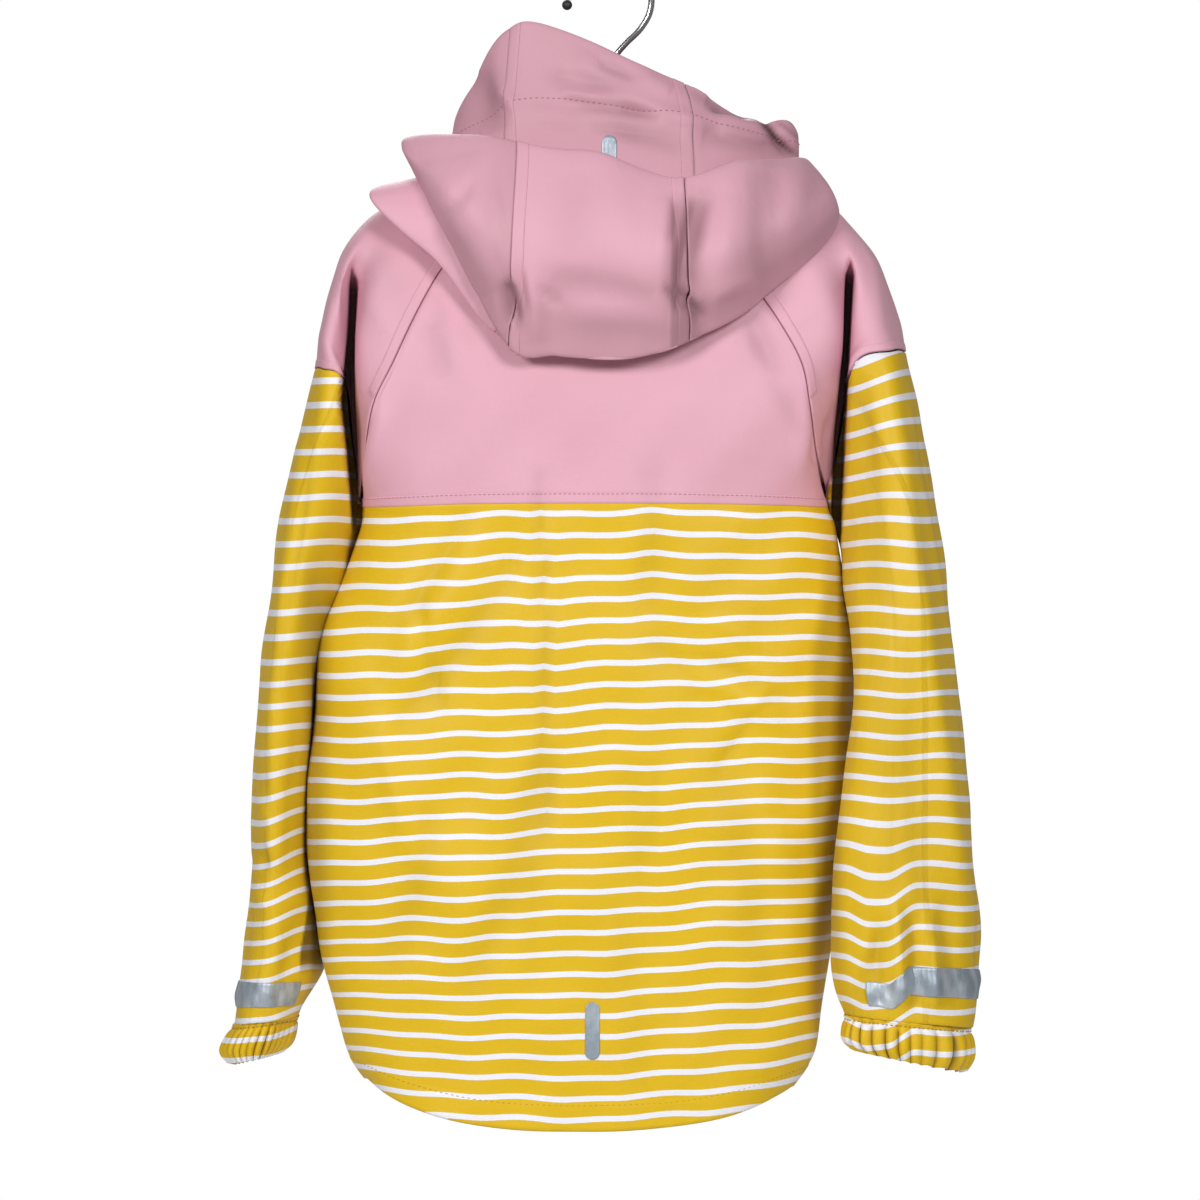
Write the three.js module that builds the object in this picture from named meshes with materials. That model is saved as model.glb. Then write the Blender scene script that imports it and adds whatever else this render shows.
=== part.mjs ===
// A child's hooded raincoat hanging on a wire-hook hanger, seen best from behind (+Y).
// Millimetres, +Z up, the wearer's front towards -Y and the wearer's left towards +X.
// The origin is the inner top of the hook's crook, where a rail holds the hanger.
import * as THREE from 'three';

// Driving sizes
const clothThickness = 1.4;
const seamGap = 0.3;
const trimThickness = 0.8;
const trimLift = 0.45;

const pink = { color: 0xe6b2c1, roughness: 0.55, metalness: 0 };
const stripe = { color: 0xe0b228, roughness: 0.5, metalness: 0 };
const reflective = { color: 0x96a3b0, roughness: 0.35, metalness: 0.3 };
const chrome = { color: 0xc8ccd0, roughness: 0.15, metalness: 1 };
const rubber = { color: 0x1a1a1a, roughness: 0.6, metalness: 0 };
const plastic = { color: 0xe8e6e0, roughness: 0.4, metalness: 0 };

const group = new THREE.Group();

// Smooth value at t (in rows) between the rows of a table: uniform Catmull-Rom in every column.
function between(rows, t) {
  const last = rows.length - 1;
  const i = Math.min(Math.max(Math.floor(t), 0), last - 1);
  const f = t - i;
  const a = rows[Math.max(i - 1, 0)];
  const b = rows[i];
  const c = rows[i + 1];
  const d = rows[Math.min(i + 2, last)];
  return b.map((value, k) => {
    const before = i > 0 ? a[k] : 2 * value - c[k];
    const after = i + 2 <= last ? d[k] : 2 * c[k] - value;
    const bend = 2 * before - 5 * value + 4 * c[k] - after;
    const twist = 3 * (value - c[k]) + after - before;
    return value + 0.5 * f * (c[k] - before + f * (bend + f * twist));
  });
}

function mix(a, b, t) {
  return a + (b - a) * t;
}

// Power of a sine or cosine that keeps its sign: the two halves of a superellipse.
function soft(value, power) {
  return Math.sign(value) * Math.abs(value) ** power;
}

// A grid of points over a surface, with the outward normal at each.
function sampleSurface(surface, uSteps, vSteps, closed = false) {
  const step = 1e-3;
  const rows = [];
  for (let j = 0; j <= vSteps; j += 1) {
    const row = [];
    for (let i = 0; i <= (closed ? uSteps - 1 : uSteps); i += 1) {
      const u = i / uSteps;
      const v = j / vSteps;
      const point = surface(u, v);
      const before = closed ? u - step : Math.max(u - step, 0);
      const after = closed ? u + step : Math.min(u + step, 1);
      const du = surface(after, v).sub(surface(before, v));
      const dv = surface(u, Math.min(v + step, 1)).sub(surface(u, Math.max(v - step, 0)));
      row.push({ point, normal: du.cross(dv).normalize() });
    }
    rows.push(row);
  }
  return { rows, closed };
}

// Point of a grid at a share u, v of its width and height, between its four nearest points.
function gridPoint(grid, u, v) {
  const { rows, closed } = grid;
  const across = closed ? rows[0].length : rows[0].length - 1;
  const x = u * across;
  const y = Math.min(Math.max(v, 0), 1) * (rows.length - 1);
  const j = Math.min(Math.floor(y), rows.length - 2);
  const i = closed ? Math.floor(x) : Math.min(Math.max(Math.floor(x), 0), across - 1);
  const wrap = (k) => (closed ? ((k % across) + across) % across : k);
  const at = (a, b) => rows[b][wrap(a)];
  const blend = (name) => {
    const top = at(i, j)[name].clone().lerp(at(i + 1, j)[name], x - i);
    const bottom = at(i, j + 1)[name].clone().lerp(at(i + 1, j + 1)[name], x - i);
    return top.lerp(bottom, y - j);
  };
  return { point: blend('point'), normal: blend('normal').normalize() };
}

// A closed wall of even thickness on a grid. lift moves it out along the normals.
function wall(grid, thickness, lift = 0) {
  const { rows, closed } = grid;
  const across = rows[0].length;
  const down = rows.length;
  const positions = [];
  for (const side of [lift + thickness / 2, lift - thickness / 2]) {
    for (const row of rows) {
      for (const { point, normal } of row) {
        positions.push(...point.clone().addScaledVector(normal, side).toArray());
      }
    }
  }
  const inner = across * down;
  const at = (i, j) => j * across + (i % across);
  const faces = [];
  const quad = (a, b, c, d) => faces.push(a, b, c, a, c, d);
  const spans = closed ? across : across - 1;
  for (let j = 0; j < down - 1; j += 1) {
    for (let i = 0; i < spans; i += 1) {
      quad(at(i, j), at(i + 1, j), at(i + 1, j + 1), at(i, j + 1));
      quad(inner + at(i, j), inner + at(i, j + 1), inner + at(i + 1, j + 1), inner + at(i + 1, j));
    }
  }
  for (let i = 0; i < spans; i += 1) {
    quad(at(i, 0), inner + at(i, 0), inner + at(i + 1, 0), at(i + 1, 0));
    quad(at(i, down - 1), at(i + 1, down - 1), inner + at(i + 1, down - 1), inner + at(i, down - 1));
  }
  if (!closed) {
    for (let j = 0; j < down - 1; j += 1) {
      quad(at(0, j), at(0, j + 1), inner + at(0, j + 1), inner + at(0, j));
      const end = across - 1;
      quad(end + j * across, inner + end + j * across,
        inner + end + (j + 1) * across, end + (j + 1) * across);
    }
  }
  const geometry = new THREE.BufferGeometry();
  geometry.setAttribute('position', new THREE.Float32BufferAttribute(positions, 3));
  geometry.setIndex(faces);
  return geometry;
}

function add(name, geometry, look) {
  geometry.computeVertexNormals();
  const mesh = new THREE.Mesh(geometry, new THREE.MeshStandardMaterial(look));
  mesh.name = name;
  group.add(mesh);
  return mesh;
}

// Torso
// Each row runs across the coat from the wearer's left edge to the right edge.
// Rows 0 to 7 lie between the raglan seams, and row 7 is the yoke seam at the underarms.
// columns: leftX, leftY, leftZ, rightX, rightY, rightZ, backY, backZ, frontY, frontZ
const torsoRows = [
  [74, 34, -152, -68, 34, -152, 45, -160, -52, -190],
  [92, 42, -178, -75, 42, -178, 53, -184, -57, -206],
  [108, 50, -200, -86, 50, -200, 59, -206, -61, -222],
  [122, 56, -226, -104, 57, -226, 64, -231, -64, -242],
  [134, 60, -252, -118, 61, -252, 67, -256, -66, -262],
  [146, 58, -277, -123, 58, -277, 69, -280, -67, -284],
  [151, 42, -306, -127, 42, -306, 70, -308, -68, -308],
  [154, 5, -341, -134, 5, -341, 71, -339, -68, -339],
  [155, 4, -353, -139, 4, -353, 71, -352, -69, -352],
  [162, 4, -374, -143, 4, -374, 71, -374, -69, -374],
  [172, 4, -400, -148, 4, -400, 72, -401, -70, -400],
  [181, 4, -427, -153, 4, -427, 73, -430, -71, -427],
  [184, 4, -471, -154, 4, -471, 74, -476, -72, -471],
  [188, 4, -512, -150, 4, -512, 74, -520, -72, -512],
  [189, 4, -553, -146, 4, -553, 74, -564, -72, -553],
  [184, 4, -588, -142, 4, -588, 72, -603, -70, -588],
  [180, 4, -620, -137, 4, -620, 70, -639, -68, -620],
  [172, 4, -650, -132, 4, -650, 68, -673, -66, -648],
  [165, 4, -676, -128, 4, -678, 66, -703, -64, -672],
  [159, 4, -697, -120, 4, -702, 64, -728, -62, -692],
];
const yokeRow = 7;
const hemRow = torsoRows.length - 1;
const backFullness = 0.8;
const edgeTurn = 6;

// Point of the torso at row v and share u of the way across, on the back or the front.
// The plan of a row is a superellipse from edge to edge.
function torsoPoint(u, v, front) {
  const [leftX, leftY, leftZ, rightX, rightY, rightZ, backY, backZ, frontY, frontZ] =
    between(torsoRows, v);
  const angle = Math.PI * u;
  const along = (1 - soft(Math.cos(angle), backFullness)) / 2;
  const edgeY = mix(leftY, rightY, along);
  const turn = mix(-1, 1, Math.min(v / yokeRow, 1) ** edgeTurn);
  const edge = front ? edgeY * turn - seamGap / 2 : edgeY + seamGap / 2;
  const crest = front ? frontY : backY;
  const middleZ = front ? frontZ : backZ;
  const rise = Math.abs(Math.sin(angle)) ** backFullness;
  const dip = Math.sin(angle) ** 2 * Math.sign(Math.sin(angle));
  const edgeZ = mix(leftZ, rightZ, along);
  return new THREE.Vector3(mix(leftX, rightX, along), mix(edge, crest, rise), mix(edgeZ, middleZ, dip));
}

// Part of the torso as a surface: u from one edge to the other, v from top to bottom.
function torsoPanel(front, fromU, toU, fromRow, toRow) {
  const surface = (u, v) => torsoPoint(mix(fromU, toU, u), mix(fromRow, toRow, v), front);
  return front ? surface : (u, v) => surface(1 - u, v);
}

const rowGap = 0.006;
const middleTrim = 0.00006;
const panels = [
  ['back_yoke', false, 0, 1, 0, yokeRow - rowGap, 14, 7, pink],
  ['back_lower', false, 0, 1, yokeRow + rowGap, hemRow, 16, 12, stripe],
  ['front_left_yoke', true, 0, 0.5 - middleTrim, 0, yokeRow - rowGap, 7, 7, pink],
  ['front_right_yoke', true, 0.5 + middleTrim, 1, 0, yokeRow - rowGap, 7, 7, pink],
  ['front_left_lower', true, 0, 0.5 - middleTrim, yokeRow + rowGap, hemRow, 8, 12, stripe],
  ['front_right_lower', true, 0.5 + middleTrim, 1, yokeRow + rowGap, hemRow, 8, 12, stripe],
];
const grids = {};
for (const [name, front, fromU, toU, fromRow, toRow, uSteps, vSteps, look] of panels) {
  grids[name] = sampleSurface(torsoPanel(front, fromU, toU, fromRow, toRow), uSteps, vSteps);
  add(name, wall(grids[name], clothThickness), look);
}

// Sleeves
// The head runs from the neck to the underarm. Half of a row crosses from the raglan seam, over the
// strip beside it, down into the armhole fold, and up over the sleeve to its outer line.
// A row lists, for the back half, x, y and z of: strip edge, fold bottom, sleeve edge, crest, outer line.
const leftHead = [
  [73, 26, -147, 72, 18, -143, 71, 12, -141, 70, 6, -139.5, 70, 0, -139],
  [99, 36, -166, 102, 28, -156, 104, 18, -149.5, 105, 9, -147, 105, 0, -146],
  [124, 45, -184, 131, 34, -170, 134, 22, -159, 135, 11, -153, 135, 0, -152],
  [144, 50, -206, 151, 38, -190, 155, 34, -175, 154, 17, -164, 152, 0, -161],
  [155, 48, -232, 160, 24, -214, 165.5, 42, -198, 168, 26, -184, 166, 0, -179],
  [157, 42, -262, 162, 14, -248, 167.5, 46, -228, 174, 38, -211, 174, 0, -205],
  [156.5, 26, -290, 161.5, 4, -292, 168.5, 48, -250, 178, 48, -236, 181, 0, -232],
];
const rightHead = [
  [66, 26, -147, 66, 18, -143, 66, 12, -141, 66, 6, -139.5, 66, 0, -139],
  [88, 36, -168, 96, 28, -158, 101, 18, -150, 103, 9, -147, 103, 0, -146],
  [112, 46, -188, 124, 36, -174, 130, 23, -162, 133, 11, -154, 134, 0, -152],
  [130, 51, -208, 141, 39, -193, 148, 34, -179, 150, 17, -167, 149, 0, -164],
  [141, 49, -232, 147, 24, -214, 154, 42, -200, 163, 26, -187, 164, 0, -183],
  [141, 42, -262, 147, 14, -248, 153, 46, -224, 168, 38, -210, 173, 0, -204],
  [138.5, 26, -290, 144.5, 4, -292, 152, 48, -245, 170, 48, -231, 180, 0, -226],
];

// Below the colour seam each row is a ring.
// columns: innerX, outerX, middleY, halfDepth, lean, innerZ, outerZ, spread
const leftRings = [
  [157, 184, 0, 58, 0, -339, -255, 0],
  [158.5, 190, -2, 60, 0, -352, -279, 0.3],
  [164, 197, -5, 60, 0, -368, -305, 0.7],
  [170, 204, -9, 59, 0, -393, -340, 1],
  [181, 209, -13, 60, 0, -423, -380, 1],
  [188, 215, -15, 61, 0, -458, -424, 1],
  [191, 220, -16, 60, 2, -497, -470, 1],
  [193, 222, -18, 58, 3, -534, -515, 1],
  [193, 223, -20, 56, 5, -570, -560, 1],
  [189, 224, -22, 53, 7, -600, -596, 1],
  [187, 227, -23, 50, 8, -624, -622, 1],
  [190, 232, -23, 47, 8, -644, -645, 1],
  [195, 235, -23, 44, 6, -659, -664, 1],
];
const rightRings = [
  [142, 184, 0, 58, 0, -337, -244, 0],
  [144, 191, 4, 58, -3, -352, -276, 0.3],
  [147, 197, 10, 56, -6, -368, -308, 0.7],
  [151, 203, 18, 54, -8, -393, -345, 1],
  [156, 208, 27, 52, -10, -423, -385, 1],
  [156, 213, 36, 49, -12, -458, -430, 1],
  [151, 219, 42, 45, -13, -497, -477, 1],
  [147, 223, 45, 42, -13, -534, -520, 1],
  [144, 226, 46, 41, -12, -570, -562, 1],
  [141, 229, 46, 40, -12, -600, -597, 1],
  [138, 228, 46, 39, -10, -624, -624, 1],
  [140, 227, 46, 38, -8, -641, -646, 1],
  [145, 224, 46, 37, -6, -656, -664, 1],
];
const headRows = 7;
const ringRows = leftRings.length - 1;
const tightShares = [0, 0.03, 0.08, 0.36, 0.68, 1];
const evenShares = [0, 0.2, 0.4, 0.6, 0.8, 1];
const stripeDrop = 6;
const ringFullness = 0.9;
const headEdgeGap = 5 * seamGap;
const stepsRound = 20;
const headSteps = 10;
const sleeveSteps = 13;

// One point of a ring: share 0 is the underarm line, 1 the outer line, on the back half.
function ringPoint(row, share, dropPower) {
  const [innerX, outerX, middleY, halfDepth, lean, innerZ, outerZ] = row;
  const angle = Math.PI * (1 - share);
  const across = soft(Math.cos(angle), ringFullness);
  const drop = ((1 - Math.cos(angle)) / 2) ** dropPower;
  return [
    mix(innerX, outerX, (1 + across) / 2),
    middleY + lean * across,
    halfDepth * soft(Math.sin(angle), ringFullness),
    mix(outerZ, innerZ, drop),
  ];
}

// The six named points of half a row, each as x, middle y, half depth and z.
function sleeveRow(side, v) {
  const left = side > 0;
  if (v >= headRows) {
    const row = between(left ? leftRings : rightRings, v - headRows);
    const shares = tightShares.map((tight, k) => mix(tight, evenShares[k], row[7]));
    const dropPower = mix(stripeDrop, 1, Math.min((v - headRows) / ringRows, 1));
    return shares.map((share) => ringPoint(row, share, dropPower));
  }
  const seam = between(torsoRows, v);
  const seamPoint = left ? seam.slice(0, 3) : [-seam[3], seam[4], seam[5]];
  const rows = left ? leftHead : rightHead;
  const row = between(rows, v);
  const points = [[seamPoint[0] + headEdgeGap, 0, seamPoint[1], seamPoint[2]]];
  for (let k = 0; k < 5; k += 1) {
    points.push([row[3 * k], 0, row[3 * k + 1], row[3 * k + 2]]);
  }
  return points;
}

// Head rows between the last named row and the colour seam are eased into the ring.
function sleeveNamed(side, v) {
  const lastHead = headRows - 1;
  if (v <= lastHead || v >= headRows) {
    return sleeveRow(side, v);
  }
  const top = sleeveRow(side, lastHead);
  const before = sleeveRow(side, lastHead - 1);
  const ring = sleeveRow(side, headRows);
  const after = sleeveRow(side, headRows + 1);
  return top.map((point, k) => between([before[k], point, ring[k], after[k]], 1 + v - lastHead));
}

// Point of a sleeve: u goes once round from the back seam over the outer line to the front seam.
function sleevePoint(side, u, v) {
  const named = sleeveNamed(side, v);
  const closed = Math.min(Math.max(v - headRows + 1, 0), 1);
  const inner = named[0];
  const next = named[1];
  const beyond = [mix(2 * inner[0] - next[0], next[0], closed), next[1],
    mix(2 * inner[2] - next[2], -next[2], closed), mix(2 * inner[3] - next[3], next[3], closed)];
  const outer = named[5];
  const over = [named[4][0], named[4][1], -named[4][2], named[4][3]];
  const wrapped = (((u % 1) + 1) % 1);
  const half = u === 1 ? 0 : 1 - Math.abs(1 - 2 * wrapped);
  const [x, middleY, depth, z] = between([beyond, ...named.slice(0, 5), outer, over], 1 + 5 * half);
  const y = middleY + (wrapped <= 0.5 ? depth : -depth);
  return new THREE.Vector3(side * x, y, z);
}

// The head stops short of the underarm line, where its back and front corners meet.
function headSurface(side) {
  const cornerTrim = 0.012;
  const insideRing = 1e-9;
  return (u, v) => {
    const row = mix(0, headRows - rowGap * 2, v);
    const trim = cornerTrim * v ** 4;
    const share = mix(trim, 1 - trim, u);
    const turned = side > 0 ? share : 1 - share;
    return sleevePoint(side, Math.min(Math.max(turned, insideRing), 1 - insideRing), row);
  };
}

function ringSurface(side, fromRow, toRow) {
  return (u, v) => sleevePoint(side, side > 0 ? u : 1 - u, headRows + mix(fromRow, toRow, v));
}

const colourSeamGap = rowGap * 8;
for (const [name, side] of [['left', 1], ['right', -1]]) {
  const head = sampleSurface(headSurface(side), stepsRound, headSteps);
  add(`sleeve_${name}_head`, wall(head, clothThickness), pink);
  const ring = ringSurface(side, colourSeamGap, ringRows);
  const lower = sampleSurface(ring, stepsRound, sleeveSteps, true);
  grids[`sleeve_${name}_lower`] = lower;
  add(`sleeve_${name}_lower`, wall(lower, clothThickness), stripe);
}

// Cuffs
// An elastic casing gathers the end of each sleeve. A row is a ring, with the depth of its gathers.
// columns: innerX, outerX, middleY, halfDepth, lean, innerZ, outerZ, gather
const leftCuff = [
  [195.5, 235.2, -23, 43.5, 6, -659.6, -664.6, 0.7],
  [199, 238, -23, 41, 6, -668, -673, 1.3],
  [203, 240, -23, 38, 6, -677, -682, 1.5],
  [208, 237, -23, 36, 6, -683, -689, 1.2],
];
const rightCuff = [
  [145.5, 224, 46, 36.5, -6, -656.6, -664.6, 0.7],
  [146, 224, 46, 35, -6, -664, -674, 1.4],
  [147, 223, 46, 34, -6, -672, -684, 1.6],
  [151, 220, 46, 32, -6, -678, -692, 1.3],
];
const gatherCount = 20;
const gatherUnevenness = 1;

// The gathers go round as waves whose spacing drifts three times a turn.
function cuffSurface(side) {
  const rows = side > 0 ? leftCuff : rightCuff;
  return (u, v) => {
    const row = between(rows, v * (rows.length - 1));
    const [innerX, outerX, middleY, halfDepth, lean, innerZ, outerZ, gather] = row;
    const angle = Math.PI * (1 - 2 * (side > 0 ? u : 1 - u));
    const across = Math.cos(angle);
    const wave = gather * Math.cos(gatherCount * angle + gatherUnevenness * Math.sin(3 * angle));
    const x = mix(innerX, outerX, (1 + across) / 2) + wave * across;
    const y = middleY + lean * across + (halfDepth + wave) * Math.sin(angle);
    return new THREE.Vector3(side * x, y, mix(innerZ, outerZ, (1 + across) / 2));
  };
}

for (const [name, side] of [['left', 1], ['right', -1]]) {
  const cuff = sampleSurface(cuffSurface(side), 3 * gatherCount, 3, true);
  add(`cuff_${name}`, wall(cuff, clothThickness), stripe);
}

// Hood
// It hangs in an S: the brim stands up, the crown folds down over a ridge and its underside goes back
// to the neck. Each line runs from the front of the neck round the wearer's left side, the back and
// the right side. Stations 6 and 10 are the seams of the centre panel.
// columns: x, y, z
const hoodLines = {
  brim: [
    [5, -60, -160], [37, -57, -149], [62, -50, -134], [86, -28, -118], [97, -4, -101], [76, 18, -58],
    [62, 26, -43], [46, 30, -40], [8, 33, -54], [-27, 31, -70], [-46, 27, -78], [-88, 12, -98],
    [-113, -8, -104], [-98, -30, -120], [-60, -50, -136], [-31, -57, -149], [1, -60, -160],
  ],
  facing: [
    [5, -60, -166], [37, -57.5, -155], [63, -51, -140], [88, -27, -123], [99, 1, -113], [80, 28, -100],
    [66, 38, -91], [46, 43, -87], [5, 46, -90], [-26, 44, -94], [-51, 40, -98], [-87, 26, -107],
    [-117, -2, -114], [-100, -28, -125], [-61, -51, -142], [-31, -57.5, -155], [1, -60, -166],
  ],
  valley: [
    [5, -60, -171], [37, -58, -160], [64, -52, -145], [91, -25, -128], [103, 6, -125], [86, 40, -132],
    [64, 56, -140], [40, 60, -144], [5, 62, -146], [-24, 62, -150], [-52, 60, -151], [-88, 38, -146],
    [-118, 4, -130], [-102, -26, -129], [-61, -52, -147], [-31, -58, -160], [1, -60, -171],
  ],
  ridge: [
    [5, -60, -175], [37, -58, -164], [65, -52, -150], [98, -22, -130], [126, 14, -112], [84, 62, -111],
    [58, 74, -116], [32, 80, -121], [5, 82, -124], [-20, 80, -134], [-46, 77, -138], [-84, 62, -128],
    [-122, 16, -125], [-106, -22, -131], [-61, -52, -151], [-31, -58, -164], [1, -60, -175],
  ],
  belly: [
    [5, -59.5, -178], [37, -57.5, -168], [65, -53, -154], [101, -20, -132], [129, 26, -118],
    [90, 86, -148], [60, 100, -176], [34, 106, -180], [4, 108, -182], [-22, 107, -185],
    [-50, 102, -184], [-92, 84, -170], [-137, 30, -144], [-109, -20, -133], [-61, -53, -155],
    [-31, -57.5, -168], [1, -59.5, -178],
  ],
  rim: [
    [5, -58.5, -181], [37, -57, -171.5], [65, -53, -158], [101, -19, -135], [124, 38, -128],
    [96, 84, -178], [62, 92, -240], [34, 94, -245], [2, 95, -249], [-24, 94, -246], [-49, 90, -238],
    [-94, 74, -212], [-142, 34, -162], [-109, -18, -136], [-60, -53, -158], [-31, -57, -171.5],
    [1, -58.5, -181],
  ],
  tuck: [
    [5, -57.5, -183], [37, -56, -174.5], [64, -53, -161], [99, -18, -137], [118, 42, -138],
    [86, 72, -176], [58, 79, -222], [34, 81, -226], [2, 81, -228], [-24, 80, -226], [-48, 77, -218],
    [-86, 63, -194], [-128, 38, -158], [-104, -17, -137], [-58, -53, -161], [-31, -56, -174.5],
    [1, -57.5, -183],
  ],
  under: [
    [5, -56, -185], [37, -55, -177.5], [62, -52, -164], [96, -20, -140], [148, 38, -146],
    [106, 64, -190], [72, 69, -228], [36, 69, -214], [2, 69, -208], [-24, 68, -206], [-46, 66, -200],
    [-76, 56, -180], [-112, 36, -158], [-97, -19, -140], [-56, -52, -164], [-31, -55, -177.5],
    [1, -56, -185],
  ],
  nape: [
    [5, -54.5, -187], [37, -53.5, -180.5], [60, -51, -163], [85, -24, -137], [78, 2, -131],
    [81, 36, -143], [61, 48, -151], [37, 49.5, -154], [5, 50, -155.5], [-25, 49.5, -155],
    [-47, 48, -152.5], [-71, 37, -143.5], [-73, 4, -131], [-80, -24, -137], [-55, -51, -163],
    [-31, -53.5, -180.5], [1, -54.5, -187],
  ],
  neck: [
    [5, -53, -188.4], [36, -51.5, -183], [57.5, -48, -168.3], [75.5, -32, -146.6], [71.8, 0, -136.9],
    [74.5, 30, -147.6], [58, 43.5, -155], [36, 45.5, -158], [5, 46.5, -159], [-24, 46, -158.4],
    [-44, 44.5, -156.5], [-66.5, 31, -148], [-67.8, 0, -136.9], [-70, -32, -146.3], [-52, -48, -168.3],
    [-30, -51.5, -183], [1, -53, -188.4],
  ],
};
const hoodNames = Object.keys(hoodLines);

// Point of the hood at a station and a line, both counted from 0, smooth between them.
function hoodPoint(station, line) {
  const across = hoodNames.map((name) => between(hoodLines[name], station));
  return new THREE.Vector3(...between(across, line));
}

const stationGap = 0.018;
const hoodSteps = 27;
const hoodPanels = [
  ['hood_left', 0, 6 - stationGap, 12],
  ['hood_centre', 6 + stationGap, 10 - stationGap, 8],
  ['hood_right', 10 + stationGap, 16, 12],
];
for (const [name, from, to, uSteps] of hoodPanels) {
  const lastLine = hoodNames.length - 1;
  grids[name] = sampleSurface((u, v) => hoodPoint(mix(to, from, u), v * lastLine), uSteps, hoodSteps);
  add(name, wall(grids[name], clothThickness), pink);
}

// Reflective trim
// Share u, v of a panel's grid where it passes through x and z, found from a first guess.
function shareAt(grid, x, z, guess) {
  const share = { ...guess };
  const step = 1e-4;
  for (let turn = 0; turn < 20; turn += 1) {
    const here = gridPoint(grid, share.u, share.v).point;
    const alongU = gridPoint(grid, share.u + step, share.v).point.sub(here);
    const alongV = gridPoint(grid, share.u, share.v + step).point.sub(here);
    const size = alongU.x * alongV.z - alongU.z * alongV.x;
    share.u += step * ((x - here.x) * alongV.z - (z - here.z) * alongV.x) / size;
    share.v += step * ((z - here.z) * alongU.x - (x - here.x) * alongU.z) / size;
  }
  return share;
}

// A strip with round ends that lies on a panel, centred at x and z.
function pill(grid, { x, z, width, height, guess }) {
  const radius = width / 2;
  const straight = height / 2 - radius;
  const rows = [1, 0.9, 0.7, 0.4, 0, -0.4, -0.7, -0.9, -1].map((share) => {
    const turn = Math.PI / 2 * share;
    const end = share < 0 ? -1 : 1;
    const above = share === 0 ? 0 : end * straight + radius * Math.sin(turn);
    const half = radius * Math.max(Math.cos(turn), 0.25);
    return [-1, -0.5, 0, 0.5, 1].map((across) => {
      const found = shareAt(grid, x + across * half, z + above, guess);
      return gridPoint(grid, found.u, found.v);
    });
  });
  return { rows, closed: false };
}

const lift = clothThickness / 2 + trimLift + trimThickness / 2;
const backPill = { x: 11, z: -666, width: 9, height: 36, guess: { u: 0.45, v: 0.8 } };
const hoodPill = { x: 0.5, z: -126, width: 9, height: 30, guess: { u: 0.5, v: 0.2 } };
add('reflector_back', wall(pill(grids.back_lower, backPill), trimThickness, lift), reflective);
add('reflector_hood', wall(pill(grids.hood_centre, hoodPill), trimThickness, lift), reflective);

// Bands round the back, the outer line and the front of a sleeve. They follow the columns and the row
// of the sleeve's grid: columns from and to, and rows as shares.
function band(grid, fromColumn, toColumn, shares) {
  const columns = grid.rows[0].length;
  const spans = toColumn - fromColumn;
  const rows = shares.map((v) => Array.from({ length: spans + 1 }, (_, i) => (
    gridPoint(grid, (fromColumn + i) / columns, v))));
  return { rows, closed: false };
}

const lastFullRow = (sleeveSteps - 1) / sleeveSteps;
// columns: side, first column, last column, shares of the rows
const bands = [
  ['left', 3, 17, [0.888, lastFullRow, 0.955]],
  ['right', 4, 16, [0.86, lastFullRow]],
];
for (const [name, fromColumn, toColumn, shares] of bands) {
  const grid = band(grids[`sleeve_${name}_lower`], fromColumn, toColumn, shares);
  add(`reflector_sleeve_${name}`, wall(grid, trimThickness, lift), reflective);
}

// Front closing
// A storm flap lies over the meeting edges of the fronts and closes with press studs.
const placketWidth = 34;
const placketTop = 0.3;
const placketFoot = hemRow - 0.1;
const placketLift = clothThickness + trimLift;
const studRadius = 6;
const studHeight = 2.4;

// Strip of the flap between two rows of the torso, of even width.
function placketSurface(fromRow, toRow) {
  return (u, v) => {
    const row = mix(fromRow, toRow, v);
    const [leftX, , , rightX] = between(torsoRows, row);
    const share = (1 - 2 * u) * placketWidth / (leftX - rightX);
    const angle = Math.acos(soft(share, 1 / backFullness));
    return torsoPoint(angle / Math.PI, row, true);
  };
}

// columns: name, first row, last row, steps, look, rows of the studs
const placketParts = [
  ['placket_yoke', placketTop, yokeRow - rowGap, 6, pink, [1.2, 5.2]],
  ['placket_lower', yokeRow + rowGap, placketFoot, 10, stripe, [9.6, 12.7, 16]],
];
let studCount = 0;
for (const [name, fromRow, toRow, steps, look, studRows] of placketParts) {
  const grid = sampleSurface(placketSurface(fromRow, toRow), 4, steps);
  add(name, wall(grid, clothThickness, placketLift), look);
  for (const row of studRows) {
    studCount += 1;
    const seat = gridPoint(grid, 0.5, (row - fromRow) / (toRow - fromRow));
    const out = placketLift + clothThickness / 2 + seamGap + studHeight / 2;
    const disc = new THREE.CylinderGeometry(studRadius, studRadius, studHeight, 14);
    const stud = add(`press_stud_${studCount}`, disc, plastic);
    stud.position.copy(seat.point).addScaledVector(seat.normal, out);
    stud.quaternion.setFromUnitVectors(new THREE.Vector3(0, 1, 0), seat.normal);
  }
}

// Hanger
const wireRadius = 2;
const crookRadius = 26;
const crookZ = -(crookRadius - wireRadius);
const crookStart = 0.01;
const crookEnd = 3.43;
const crookPoints = 8;
const tipRadius = 3.2;
const armDepth = 9;
const armHeight = 12;

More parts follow.
